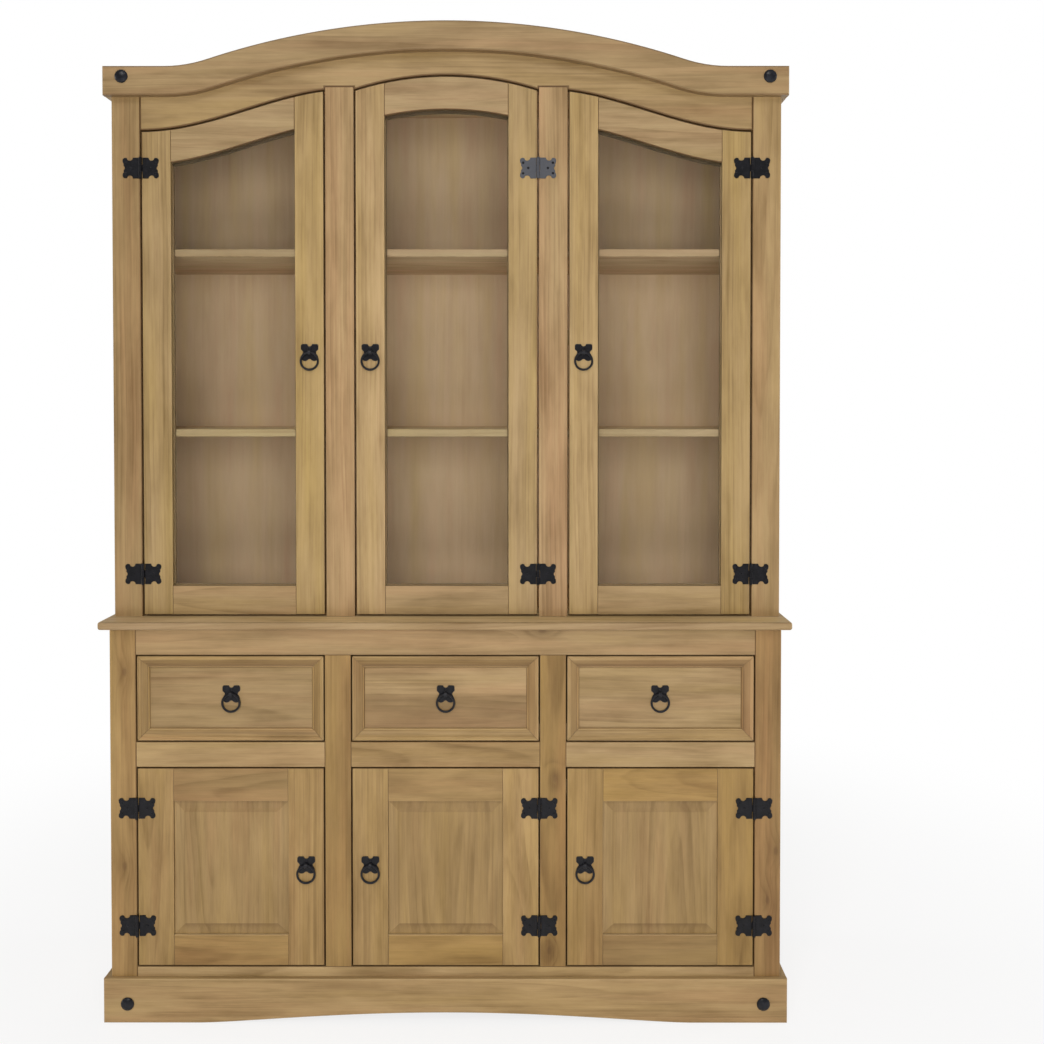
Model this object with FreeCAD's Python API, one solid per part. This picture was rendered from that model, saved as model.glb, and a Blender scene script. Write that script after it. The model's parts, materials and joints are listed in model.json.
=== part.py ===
import FreeCAD, Part
import math
import os

# Waxed pine buffet with a glazed hutch, built as separate boards, doors, drawers and ironwork.
# The origin is on the floor at the middle of the footprint, the front faces -Y and +Z is up.
# All sizes are in millimetres.

Vector = FreeCAD.Vector
X_WAY, Y_WAY, Z_WAY = Vector(1, 0, 0), Vector(0, 1, 0), Vector(0, 0, 1)

# Whole piece
overall_width = 1350.0
overall_depth = 430.0
cut_overrun = 5.0

# Boards
face_board = 20.0
door_back_play = 2.0
side_board = 15.0
back_ply = 6.0

# Buffet
buffet_height = 788.0
counter_thickness = 15.0
counter_round = 4.0
counter_side_overhang = 18.0
counter_front_overhang = 20.0
buffet_post_width = 51.0
buffet_mullion_width = 51.0
top_rail_height = 52.0
drawer_opening_height = 171.0
middle_rail_height = 49.5
bottom_rail_reveal = 19.0
bottom_rail_height = 40.0
buffet_floor_drop = 6.0
buffet_shelf_height = 300.0
buffet_shelf_setback = 25.0

# Plinth
plinth_height = 87.0
plinth_board = 12.0
plinth_chamfer = 3.0
plinth_arch_rise = 20.0
plinth_arch_reach = 475.0
plinth_arch_power = 1.4

# Hutch
hutch_setback = 70.0
hutch_side_inset = 12.0
hutch_post_width = 56.0
hutch_mullion_width = 57.0
arch_spring_height = 966.0
arch_rail_end = 102.0
arch_bay_rise = 80.0
arch_centre_rise = 29.0
arch_swing_share = 1.15
mullion_seat = 5.0
hutch_floor_thickness = 12.0
hutch_shelf_thickness = 15.0
lower_shelf_height = 373.5
upper_shelf_height = 733.5

# Crown
crown_swell = 109.0
crown_board_height = 57.0
crown_board_thickness = 18.0
crown_round = 3.0
crown_flare_radius = 275.0
crown_flare_reach = 555.0
crown_lip = 20.0

# Glazed doors
glazed_door_gap = 3.3
glazed_door_lift = 4.0
glazed_stile_width = 57.0
glazed_bottom_rail = 57.0
glazed_top_rail = 64.0
glass_thickness = 3.0
glass_rebate = 7.0
glass_clearance = 0.5
bead_reveal = 3.0
bead_thickness = 5.0

# Framed doors
framed_door_gap = 2.5
framed_stile_width = 70.0
framed_top_rail = 65.0
framed_bottom_rail = 60.5
panel_bevel_width = 22.0
panel_field_setback = 2.0
panel_bevel_depth = 6.5
panel_tongue_thickness = 6.0
panel_tongue_depth = 6.0
panel_play = 0.5

# Drawers
drawer_gap = 2.5
drawer_field_setback = 9.0
drawer_moulding_width = 24.0
moulding_reach_shares = (0.0, 0.0, 0.1, 0.3, 0.42, 0.8, 0.92, 1.0)
moulding_rise_shares = (0.0, 0.85, 1.0, 1.0, 0.75, 0.3, 0.35, 0.0)
drawer_side_play = 4.0
drawer_side_thickness = 12.0
drawer_side_height = 130.0
drawer_back_clearance = 24.0
drawer_bottom_thickness = 5.0
drawer_bottom_lift = 8.0
drawer_groove_depth = 5.0
runner_ledge_lift = 6.0
runner_ledge_height = 18.0
runner_guide_height = 25.0
runner_guide_play = 0.5

# Butterfly hinges
pin_radius = 1.5
pin_play = 0.05
pin_head_radius = 2.4
pin_head_height = 1.0
knuckle_radius = 3.4
knuckle_clearance = 0.3
knuckle_gap = 0.3
leaf_thickness = 1.6
leaf_clearance = 0.4
leaf_reach = 36.0
leaf_body_reach = 15.5
leaf_half_height = 20.5
lobe_radius = 5.7
lobe_offset = 14.5
waist_notch_radius = 6.0
end_notch_radius = 4.6
screw_lobe_reach = 29.5
screw_lobe_offset = 10.4
screw_middle_reach = 19.4
screw_radius = 1.2
screw_length = 12.0
screw_head_radius = 2.4
screw_head_height = 0.9
glazed_hinge_low = 81.0
glazed_hinge_drop = 75.0
framed_hinge_low = 79.0
framed_hinge_drop = 78.5

# Ring pulls
plate_thickness = 2.0
plate_half_width = 16.5
plate_half_height = 17.0
plate_ear_inset = 5.0
plate_ear_height = 13.0
plate_waist_radius = 4.2
plate_notch_radius = 4.2
plate_lobe_radius = 7.6
ring_radius = 17.0
ring_wire_radius = 2.3
ring_plate_gap = 0.6
eye_hole_play = 0.6
eye_wall = 2.2
eye_width = 6.0
glazed_pull_height = 522.0
framed_pull_height = 199.0
drawer_pull_rise = 7.0

# Studs and catches
stud_radius = 13.0
stud_height = 7.0
crown_stud_inset = 38.0
crown_stud_drop = 21.0
plinth_stud_inset = 47.0
plinth_stud_height = 38.0
catch_height = 30.0
catch_depth = 14.0
catch_partition_play = 3.0
catch_reach = 12.0
glazed_catch_height = 542.0
framed_catch_drop = 60.0

# Counts and shares
curve_steps = 6
knuckles_per_hinge = 3
front_plane_share = 0.001

# Planes and edges worked out from the sizes above
front = -overall_depth / 2
back = overall_depth / 2
panel_back = back - back_ply
door_thickness = face_board - door_back_play
counter_half = overall_width / 2
buffet_half = counter_half - counter_side_overhang
buffet_face = front + counter_front_overhang
buffet_frame_back = buffet_face + face_board
counter_bottom = buffet_height - counter_thickness
drawer_opening_top = counter_bottom - top_rail_height
drawer_opening_bottom = drawer_opening_top - drawer_opening_height
door_opening_top = drawer_opening_bottom - middle_rail_height
door_opening_bottom = plinth_height + bottom_rail_reveal
buffet_floor_top = door_opening_bottom - buffet_floor_drop
buffet_post_inner = buffet_half - buffet_post_width
buffet_bay = (2 * buffet_post_inner - 2 * buffet_mullion_width) / 3
buffet_pitch = buffet_bay + buffet_mullion_width
plinth_face = buffet_face - plinth_board
plinth_half = buffet_half + plinth_board

hutch_half = counter_half - hutch_side_inset
hutch_face = front + hutch_setback
hutch_frame_back = hutch_face + face_board
hutch_post_inner = hutch_half - hutch_post_width
hutch_bay = (2 * hutch_post_inner - 2 * hutch_mullion_width) / 3
hutch_pitch = hutch_bay + hutch_mullion_width
arch_spring = buffet_height + arch_spring_height
arch_rail_end_top = arch_spring + arch_rail_end
arch_shoulder = arch_spring + arch_bay_rise
arch_apex = arch_shoulder + arch_centre_rise
arch_centre_radius = ((hutch_bay / 2) ** 2 + arch_centre_rise ** 2) / (2 * arch_centre_rise)
glazed_door_bottom = buffet_height + glazed_door_lift

crown_apex = arch_rail_end_top + crown_swell
crown_end_top = arch_rail_end_top + crown_lip
hutch_top = crown_end_top
crown_end_drop = crown_apex - crown_end_top
crown_radii_sum = (crown_flare_reach ** 2 + crown_end_drop ** 2) / (2 * crown_end_drop)
crown_arc_radius = crown_radii_sum - crown_flare_radius
crown_arc_centre = crown_apex - crown_arc_radius
crown_turn = math.asin(crown_flare_reach / crown_radii_sum)
crown_face = hutch_face - crown_board_thickness
knuckle_lift = knuckle_radius + knuckle_clearance
catch_seat = (buffet_mullion_width - side_board) / 2 - catch_partition_play

bays = {"left": -1, "middle": 0, "right": 1}
hinge_sides = {"left": -1, "middle": 1, "right": 1}


# General shapes

def block(x0, x1, y0, y1, z0, z1):
    """A box between two corners, given in any order along X."""
    return Part.makeBox(abs(x1 - x0), y1 - y0, z1 - z0, Vector(min(x0, x1), y0, z0))


def rod(start, way, radius, length):
    return Part.makeCylinder(radius, length, start, way)


def fuse(shapes):
    return shapes[0].fuse(shapes[1:]).removeSplitter()


def cut(shape, tools):
    return shape.cut(tools)


def mirrored_x(shape, side):
    """The shape itself for side 1, its mirror image across X = 0 for side -1."""
    return shape if side > 0 else shape.mirror(Vector(0, 0, 0), X_WAY)


def pair(shape):
    return [shape, mirrored_x(shape, -1)]


def in_plane(x, z, y):
    return Vector(x, y, z)


def line_edge(start, end):
    return Part.LineSegment(start, end).toShape()


def arc_edge(start, middle, end):
    return Part.Arc(start, middle, end).toShape()


def height_edge(height, x0, x1, y):
    """An edge that follows a height, a fixed one or a function of x, from x0 to x1."""
    if not callable(height):
        return line_edge(in_plane(x0, height, y), in_plane(x1, height, y))
    places = [x0 + (x1 - x0) * step / curve_steps for step in range(curve_steps + 1)]
    curve = Part.BSplineCurve()
    curve.interpolate([in_plane(x, height(x), y) for x in places])
    return curve.toShape()


def height_at(height, x):
    return height(x) if callable(height) else height


def board_between(x0, x1, low, high, y0, y1):
    """An upright board from x0 to x1 whose lower and upper edges may be curved."""
    edges = [
        height_edge(low, x0, x1, y0),
        line_edge(in_plane(x1, height_at(low, x1), y0), in_plane(x1, height_at(high, x1), y0)),
        height_edge(high, x1, x0, y0),
        line_edge(in_plane(x0, height_at(high, x0), y0), in_plane(x0, height_at(low, x0), y0)),
    ]
    return Part.Face(Part.Wire(edges)).extrude(Y_WAY * (y1 - y0))


def lowered(height, drop):
    if callable(height):
        return lambda x: height(x) - drop
    return height - drop


def front_edges(shape):
    """The edges of a board that lie in its front plane."""
    limit = shape.BoundBox.YMin + shape.BoundBox.YLength * front_plane_share
    return [edge for edge in shape.Edges if edge.BoundBox.YMax < limit]


def export(node, solids):
    shape = solids[0] if len(solids) == 1 else Part.makeCompound(solids)
    shape.exportStep("parts/" + node + ".step")
    loose = [solid for item in solids for solid in item.Solids]
    print(node, len(loose), "solids", "valid" if shape.isValid() else "NOT VALID")


# Arched rail of the hutch: each side bay swings up from its post, the middle bay is an arc

def bay_arch(bay):
    """Height of the arched rail's lower edge over one bay, as a function of x."""
    def side_swing(x):
        reach = (hutch_post_inner - abs(x)) / hutch_bay
        swing = 1 - math.cos(math.pi * reach / arch_swing_share)
        full_swing = 1 - math.cos(math.pi / arch_swing_share)
        return arch_spring + arch_bay_rise * swing / full_swing

    def middle_arc(x):
        return arch_apex - arch_centre_radius + math.sqrt(arch_centre_radius ** 2 - x ** 2)

    return side_swing if bays[bay] else middle_arc


def crown_edges(drop, reach, y):
    """Edges of the crown's curve, lowered square to itself by drop, from -reach to reach."""
    arc = crown_arc_radius - drop
    flare = crown_flare_radius + drop
    flat = crown_end_top - drop

    def on_arc(turn):
        return in_plane(arc * math.sin(turn), crown_arc_centre + arc * math.cos(turn), y)

    def on_flare(side, turn):
        x = crown_flare_reach - flare * math.sin(turn)
        return in_plane(side * x, crown_end_top + crown_flare_radius - flare * math.cos(turn), y)

    return [
        line_edge(in_plane(-reach, flat, y), on_flare(-1, 0)),
        arc_edge(on_flare(-1, 0), on_flare(-1, crown_turn / 2), on_arc(-crown_turn)),
        arc_edge(on_arc(-crown_turn), on_arc(0), on_arc(crown_turn)),
        arc_edge(on_arc(crown_turn), on_flare(1, crown_turn / 2), on_flare(1, 0)),
        line_edge(on_flare(1, 0), in_plane(reach, flat, y)),
    ]


def make_crown():
    top = crown_edges(0, counter_half, crown_face)
    bottom = crown_edges(crown_board_height, counter_half, crown_face)
    flat_top, flat_bottom = crown_end_top, crown_end_top - crown_board_height
    ends = [
        line_edge(in_plane(side * counter_half, flat_top, crown_face),
                  in_plane(side * counter_half, flat_bottom, crown_face))
        for side in (-1, 1)
    ]
    outline = Part.Wire(Part.__sortEdges__(top + bottom + ends))
    board = Part.Face(outline).extrude(Y_WAY * crown_board_thickness)
    board = board.makeFillet(crown_round, front_edges(board))
    side = block(hutch_half, counter_half, hutch_face, panel_back, flat_bottom, flat_top)
    return [board] + pair(side)


def make_arch_rail():
    inner = hutch_post_inner
    y = hutch_face
    top = crown_edges(crown_lip, inner, y)
    edges = top + [
        line_edge(in_plane(side * inner, arch_rail_end_top, y), in_plane(side * inner, arch_spring, y))
        for side in (-1, 1)
    ]
    seat_inner = hutch_bay / 2
    seat_outer = seat_inner + hutch_mullion_width
    seat_top = arch_shoulder + mullion_seat
    for bay, side in (("left", -1), ("right", 1)):
        edges.append(height_edge(bay_arch(bay), side * inner, side * seat_outer, y))
        edges.append(line_edge(in_plane(side * seat_outer, arch_shoulder, y),
                               in_plane(side * seat_outer, seat_top, y)))
        edges.append(line_edge(in_plane(side * seat_outer, seat_top, y),
                               in_plane(side * seat_inner, seat_top, y)))
        edges.append(line_edge(in_plane(side * seat_inner, seat_top, y),
                               in_plane(side * seat_inner, arch_shoulder, y)))
    edges.append(height_edge(bay_arch("middle"), -seat_inner, seat_inner, y))
    outline = Part.Wire(Part.__sortEdges__(edges))
    return [Part.Face(outline).extrude(Y_WAY * face_board)]


# Ironwork

def hinge_heights(tier):
    if tier == "glazed":
        return [glazed_door_bottom + glazed_hinge_low, arch_spring - glazed_hinge_drop]
    return [door_opening_bottom + framed_door_gap + framed_hinge_low,
            door_opening_top - framed_door_gap - framed_hinge_drop]


def tier_face(tier):
    return hutch_face if tier == "glazed" else buffet_face


def hinge_axis_x(tier, bay):
    """Middle of the gap between the hinged edge of a door and its frame."""
    pitch, width = (hutch_pitch, hutch_bay) if tier == "glazed" else (buffet_pitch, buffet_bay)
    gap = glazed_door_gap if tier == "glazed" else framed_door_gap
    return bays[bay] * pitch + hinge_sides[bay] * (width - gap) / 2


def screw_places():
    return [(screw_lobe_reach, screw_lobe_offset), (screw_lobe_reach, -screw_lobe_offset),
            (screw_middle_reach, 0)]


def leaf_plate():
    """Butterfly outline of one leaf, with the pin's line at x = 0 and its back at y = 0."""
    y0, y1 = -leaf_thickness, 0
    start = knuckle_radius + leaf_clearance
    lobe_reach = leaf_reach - lobe_radius
    body = block(start, leaf_body_reach, y0, y1, -leaf_half_height, leaf_half_height)
    neck = block(start, lobe_reach, y0, y1, -lobe_offset, lobe_offset)
    tip = block(lobe_reach, leaf_reach, y0, y1, -lobe_offset, lobe_offset)
    lobes = [rod(Vector(lobe_reach, y0, side * lobe_offset), Y_WAY, lobe_radius, leaf_thickness)
             for side in (-1, 1)]
    plate = fuse([body, neck, tip] + lobes)
    waist = leaf_body_reach + waist_notch_radius
    overrun_front = Vector(0, y0 - cut_overrun, 0)
    deep = leaf_thickness + 2 * cut_overrun
    notches = [rod(overrun_front + Vector(waist, 0, side * leaf_half_height), Y_WAY,
                   waist_notch_radius, deep) for side in (-1, 1)]
    notches.append(rod(overrun_front + Vector(leaf_reach, 0, 0), Y_WAY, end_notch_radius, deep))
    holes = [rod(overrun_front + Vector(x, 0, z), Y_WAY, screw_radius, deep)
             for x, z in screw_places()]
    return cut(plate, notches + holes)


def knuckle_span(index):
    """Lower and upper end of one knuckle along the pin, counted from the bottom."""
    length = 2 * leaf_half_height / knuckles_per_hinge
    low = -leaf_half_height + index * length
    return low + knuckle_gap / 2, low + length - knuckle_gap / 2


def hinge_leaf(x, z, face, side, knuckles):
    """One leaf reaching to the given side of the pin, with its own share of the knuckles."""
    start = knuckle_radius + leaf_clearance
    pieces = [leaf_plate()]
    for index in knuckles:
        low, high = knuckle_span(index)
        pieces.append(rod(Vector(0, -knuckle_lift, low), Z_WAY, knuckle_radius, high - low))
        pieces.append(block(0, start, -leaf_thickness, 0, low, high))
    hole = rod(Vector(0, -knuckle_lift, -leaf_half_height - cut_overrun), Z_WAY,
               pin_radius + pin_play, 2 * (leaf_half_height + cut_overrun))
    leaf = mirrored_x(cut(fuse(pieces), [hole]), side)
    return leaf.translated(Vector(x, face, z))


def leaf_screws(x, z, face, side):
    solids = []
    for reach, rise in screw_places():
        seat = Vector(x + side * reach, face - leaf_thickness, z + rise)
        head = Part.makeCone(screw_head_radius, screw_radius, screw_head_height, seat, -Y_WAY)
        shank = rod(seat, Y_WAY, screw_radius, screw_length)
        solids.append(fuse([head, shank]))
    return solids


def screw_bores(x, z, face, side):
    """Tools for the screw holes that one leaf needs in the wood behind it."""
    depth = screw_length - leaf_thickness
    return [rod(Vector(x + side * reach, face, z + rise), Y_WAY, screw_radius, depth)
            for reach, rise in screw_places()]


def hinge_pin(x, z, face):
    line = Vector(x, face - knuckle_lift, z - leaf_half_height)
    shank = rod(line, Z_WAY, pin_radius, 2 * leaf_half_height)
    top = rod(line + Vector(0, 0, 2 * leaf_half_height), Z_WAY, pin_head_radius, pin_head_height)
    bottom = rod(line - Vector(0, 0, pin_head_height), Z_WAY, pin_head_radius, pin_head_height)
    return fuse([shank, top, bottom])


def all_hinges():
    """Place of every hinge: tier, bay, x, z and the plane of the wood."""
    for tier in ("glazed", "framed"):
        for bay in bays:
            for z in hinge_heights(tier):
                yield tier, bay, hinge_axis_x(tier, bay), z, tier_face(tier)


def frame_ironwork():
    solids = []
    outer_knuckles = [index for index in range(knuckles_per_hinge) if index % 2 == 0]
    for tier, bay, x, z, face in all_hinges():
        side = hinge_sides[bay]
        solids.append(hinge_leaf(x, z, face, side, outer_knuckles))
        solids.extend(leaf_screws(x, z, face, side))
    return solids


def frame_screw_bores(tier):
    tools = []
    for hinge_tier, bay, x, z, face in all_hinges():
        if hinge_tier == tier:
            tools.extend(screw_bores(x, z, face, hinge_sides[bay]))
    return tools


def door_ironwork(tier, bay):
    x, face, side = hinge_axis_x(tier, bay), tier_face(tier), -hinge_sides[bay]
    inner_knuckles = [index for index in range(knuckles_per_hinge) if index % 2]
    solids = []
    for z in hinge_heights(tier):
        solids.append(hinge_leaf(x, z, face, side, inner_knuckles))
        solids.extend(leaf_screws(x, z, face, side))
    return solids


def door_screw_bores(tier, bay):
    x, face, side = hinge_axis_x(tier, bay), tier_face(tier), -hinge_sides[bay]
    return [tool for z in hinge_heights(tier) for tool in screw_bores(x, z, face, side)]


def ring_line_depth():
    """Distance from the wood to the line that a ring swings about."""
    return plate_thickness + ring_plate_gap + ring_wire_radius


def pull_plate(x, z, face):
    """Backplate with two ears, a waist and two lobes, and the eye that carries the ring."""
    y0 = -plate_thickness
    ear_low = plate_half_height - plate_ear_height
    ears = block(-plate_half_width, plate_half_width, y0, 0, ear_low, plate_half_height)
    trunk_half = plate_half_width - plate_ear_inset
    trunk = block(-trunk_half, trunk_half, y0, 0, plate_lobe_radius - plate_half_height, ear_low)
    lobe_x = plate_half_width - plate_lobe_radius
    lobes = [rod(Vector(side * lobe_x, y0, plate_lobe_radius - plate_half_height), Y_WAY,
                 plate_lobe_radius, plate_thickness) for side in (-1, 1)]
    deep = plate_thickness + 2 * cut_overrun
    bites = [rod(Vector(0, y0 - cut_overrun, side * plate_half_height), Y_WAY,
                 plate_notch_radius, deep) for side in (-1, 1)]
    bites += [rod(Vector(side * plate_half_width, y0 - cut_overrun, 0), Y_WAY,
                  plate_waist_radius, deep) for side in (-1, 1)]
    plate = cut(fuse([ears, trunk] + lobes), bites)

    line = ring_line_depth()
    hole_radius = ring_wire_radius + eye_hole_play
    eye_radius = hole_radius + eye_wall
    left = Vector(-eye_width / 2, -line, 0)
    eye = fuse([rod(left, X_WAY, eye_radius, eye_width),
                block(-eye_width / 2, eye_width / 2, -line, y0, -eye_radius, eye_radius)])
    hole = rod(left - Vector(cut_overrun, 0, 0), X_WAY, hole_radius, eye_width + 2 * cut_overrun)
    pull = cut(fuse([plate, eye]), [hole])
    trim = block(-eye_width, eye_width, 0, eye_radius + hole_radius, -eye_radius, eye_radius)
    return cut(pull, [trim]).translated(Vector(x, face, z))


def pull_ring(x, z, face):
    centre = Vector(x, face - ring_line_depth(), z - ring_radius)
    return Part.makeTorus(ring_radius, ring_wire_radius, centre, Y_WAY)


def stud(x, z, face):
    sphere_radius = (stud_radius ** 2 + stud_height ** 2) / (2 * stud_height)
    centre = Vector(x, face - stud_height + sphere_radius, z)
    ball = Part.makeSphere(sphere_radius, centre)
    reach = sphere_radius + cut_overrun
    cap = block(x - reach, x + reach, face - stud_height - cut_overrun, face, z - reach, z + reach)
    return ball.common(cap)


def make_studs():
    crown_z = crown_end_top - crown_stud_drop
    crown = stud(counter_half - crown_stud_inset, crown_z, crown_face)
    plinth = stud(plinth_half - plinth_stud_inset, plinth_stud_height, plinth_face)
    return pair(crown) + pair(plinth)


# Glazed doors

def glazed_edges(bay):
    """Left and right edge of one glazed door."""
    centre = bays[bay] * hutch_pitch
    half = hutch_bay / 2 - glazed_door_gap
    return centre - half, centre + half


def free_stile_x(tier, bay):
    """Middle line of the stile that carries the pull."""
    pitch, width = (hutch_pitch, hutch_bay) if tier == "glazed" else (buffet_pitch, buffet_bay)
    gap = glazed_door_gap if tier == "glazed" else framed_door_gap
    stile = glazed_stile_width if tier == "glazed" else framed_stile_width
    return bays[bay] * pitch - hinge_sides[bay] * (width / 2 - gap - stile / 2)


def glazed_opening(bay, grow):
    """Left, right, bottom and top of the glass opening, grown outwards by grow."""
    x0, x1 = glazed_edges(bay)
    low = glazed_door_bottom + glazed_bottom_rail
    high = lowered(bay_arch(bay), glazed_door_gap + glazed_top_rail)
    left, right = x0 + glazed_stile_width - grow, x1 - glazed_stile_width + grow
    return left, right, low - grow, lowered(high, -grow)


def glazed_layer(bay, grow, y0, y1):
    x0, x1, low, high = glazed_opening(bay, grow)
    return board_between(x0, x1, low, high, y0, y1)


def glazed_door_frame(bay):
    x0, x1 = glazed_edges(bay)
    y0, y1 = hutch_face, hutch_face + door_thickness
    top = lowered(bay_arch(bay), glazed_door_gap)
    in0, in1, low, high = glazed_opening(bay, 0)
    rebate_front = y1 - bead_thickness - glass_thickness
    rebate = glazed_layer(bay, glass_rebate, rebate_front, y1 + cut_overrun)
    bores = door_screw_bores("glazed", bay)
    pieces = [
        board_between(x0, in0, glazed_door_bottom, top, y0, y1),
        board_between(in1, x1, glazed_door_bottom, top, y0, y1),
        board_between(in0, in1, high, top, y0, y1),
        board_between(in0, in1, glazed_door_bottom, low, y0, y1),
    ]
    bead = cut(glazed_layer(bay, glass_rebate - glass_clearance, y1 - bead_thickness, y1),
               [glazed_layer(bay, -bead_reveal, y1 - bead_thickness - cut_overrun, y1 + cut_overrun)])
    return [cut(piece, [rebate] + bores) for piece in pieces] + [bead]


def glazed_door_glass(bay):
    y1 = hutch_face + door_thickness - bead_thickness
    return [glazed_layer(bay, glass_rebate - glass_clearance, y1 - glass_thickness, y1)]


# Framed doors

def framed_edges(bay):
    centre = bays[bay] * buffet_pitch
    half = buffet_bay / 2 - framed_door_gap
    return centre - half, centre + half


def framed_opening(bay):
    x0, x1 = framed_edges(bay)
    low = door_opening_bottom + framed_door_gap + framed_bottom_rail
    high = door_opening_top - framed_door_gap - framed_top_rail
    return x0 + framed_stile_width, x1 - framed_stile_width, low, high


def framed_door_frame(bay):
    x0, x1 = framed_edges(bay)
    in0, in1, low, high = framed_opening(bay)
    bottom, top = door_opening_bottom + framed_door_gap, door_opening_top - framed_door_gap
    y0, y1 = buffet_face, buffet_face + door_thickness
    depth = panel_tongue_depth + panel_play
    tongue_front = buffet_face + panel_field_setback + panel_bevel_depth
    groove = block(in0 - depth, in1 + depth, tongue_front, tongue_front + panel_tongue_thickness,
                   low - depth, high + depth)
    pieces = [
        block(x0, in0, y0, y1, bottom, top),
        block(in1, x1, y0, y1, bottom, top),
        block(in0, in1, y0, y1, high, top),
        block(in0, in1, y0, y1, bottom, low),
    ]
    return [cut(piece, [groove] + door_screw_bores("framed", bay)) for piece in pieces]


def rectangle_wire(x0, x1, z0, z1, y):
    corners = [in_plane(x0, z0, y), in_plane(x1, z0, y), in_plane(x1, z1, y), in_plane(x0, z1, y)]
    return Part.makePolygon(corners + corners[:1])


def framed_door_panel(bay):
    in0, in1, low, high = framed_opening(bay)
    tongue_front = buffet_face + panel_field_setback + panel_bevel_depth
    reach = panel_tongue_depth
    tongue = block(in0 - reach, in1 + reach, tongue_front, tongue_front + panel_tongue_thickness,
                   low - reach, high + reach)
    inset = panel_bevel_width
    foot = rectangle_wire(in0 + panel_play, in1 - panel_play, low + panel_play, high - panel_play,
                          tongue_front)
    field = rectangle_wire(in0 + inset, in1 - inset, low + inset, high - inset,
                           tongue_front - panel_bevel_depth)
    raised = Part.makeLoft([foot, field], True, True)
    return [fuse([tongue, raised])]


# Drawers

def drawer_front_box(bay):
    centre = bays[bay] * buffet_pitch
    half = buffet_bay / 2 - drawer_gap
    low, high = drawer_opening_bottom + drawer_gap, drawer_opening_top - drawer_gap
    return centre - half, centre + half, low, high


def moulding_section(x, z, way_x, way_z, plane):
    """Profile of the moulding at one mitred corner, stepping inwards along both ways."""
    points = []
    for reach_share, rise_share in zip(moulding_reach_shares, moulding_rise_shares):
        reach = drawer_moulding_width * reach_share
        rise = drawer_field_setback * rise_share
        points.append(Vector(x + way_x * reach, plane - rise, z + way_z * reach))
    return Part.makePolygon(points + points[:1])


def drawer_front(bay):
    x0, x1, z0, z1 = drawer_front_box(bay)
    plane = buffet_face + drawer_field_setback
    board = block(x0, x1, plane, buffet_frame_back, z0, z1)
    corners = [(x0, z0, 1, 1), (x1, z0, -1, 1), (x1, z1, -1, -1), (x0, z1, 1, -1)]
    strips = []
    for start, end in zip(corners, corners[1:] + corners[:1]):
        sections = [moulding_section(*corner, plane) for corner in (start, end)]
        strips.append(Part.makeLoft(sections, True, True))
    return [board] + strips


def drawer_box_edges(bay):
    """Outer left, outer right, bottom, front and back of a drawer's box."""
    centre = bays[bay] * buffet_pitch
    half = buffet_bay / 2 - drawer_side_play
    low = drawer_opening_bottom + runner_ledge_lift
    start = buffet_frame_back
    return centre - half, centre + half, low, start, panel_back - drawer_back_clearance


def drawer_box(bay):
    x0, x1, z0, y0, y1 = drawer_box_edges(bay)
    thick, top = drawer_side_thickness, z0 + drawer_side_height
    groove = drawer_groove_depth
    bottom_low = z0 + drawer_bottom_lift
    bottom = block(x0 + thick - groove, x1 - thick + groove, y0, y1 - thick + groove,
                   bottom_low, bottom_low + drawer_bottom_thickness)
    sides = [block(x0, x0 + thick, y0, y1, z0, top), block(x1 - thick, x1, y0, y1, z0, top)]
    rear = block(x0 + thick, x1 - thick, y1 - thick, y1, z0, top)
    return [cut(piece, [bottom]) for piece in sides + [rear]] + [bottom]


def bay_walls(bay):
    """Inner faces of the uprights on both sides of one buffet bay."""
    half = side_board / 2
    middle = buffet_pitch / 2 + half
    return {
        "left": (side_board - buffet_half, -buffet_pitch / 2 - half),
        "middle": (half - buffet_pitch / 2, buffet_pitch / 2 - half),
        "right": (middle, buffet_half - side_board),
    }[bay]


def make_runners():
    solids = []
    for bay in bays:
        x0, x1, z0 = drawer_box_edges(bay)[:3]
        walls = bay_walls(bay)
        for wall, edge, way in ((walls[0], x0, 1), (walls[1], x1, -1)):
            ledge = block(wall, edge + way * drawer_side_thickness, buffet_frame_back, panel_back,
                          z0 - runner_ledge_height, z0)
            guide = block(wall, edge - way * runner_guide_play, buffet_frame_back, panel_back,
                          z0, z0 + runner_guide_height)
            solids.append(fuse([ledge, guide]))
    return solids


# Buffet

def make_counter():
    slab = block(-counter_half, counter_half, front, back, counter_bottom, buffet_height)
    edges = [edge for edge in slab.Edges
             if edge.BoundBox.ZLength < counter_round
             and (edge.BoundBox.YMax < 0 or edge.BoundBox.YLength > counter_half / 2)]
    return [slab.makeFillet(counter_round, edges)]


def make_buffet_posts():
    low = door_opening_bottom - bottom_rail_height
    post = block(buffet_post_inner, buffet_half, buffet_face, buffet_frame_back, low, counter_bottom)
    return [cut(piece, frame_screw_bores("framed")) for piece in pair(post)]


def make_buffet_mullions():
    inner = buffet_bay / 2
    upright = block(inner, inner + buffet_mullion_width, buffet_face, buffet_frame_back,
                    door_opening_bottom, drawer_opening_top)
    return [cut(piece, frame_screw_bores("framed")) for piece in pair(upright)]


def make_buffet_rails():
    y0, y1 = buffet_face, buffet_frame_back
    inner = buffet_post_inner
    top = block(-inner, inner, y0, y1, drawer_opening_top, counter_bottom)
    bottom = block(-inner, inner, y0, y1, door_opening_bottom - bottom_rail_height, door_opening_bottom)
    middles = []
    for index in bays.values():
        centre = index * buffet_pitch
        middles.append(block(centre - buffet_bay / 2, centre + buffet_bay / 2, y0, y1,
                             door_opening_top, drawer_opening_bottom))
    return [top, bottom] + middles


def make_buffet_sides():
    return pair(block(buffet_half - side_board, buffet_half, buffet_frame_back, panel_back,
                      0, counter_bottom))


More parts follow.
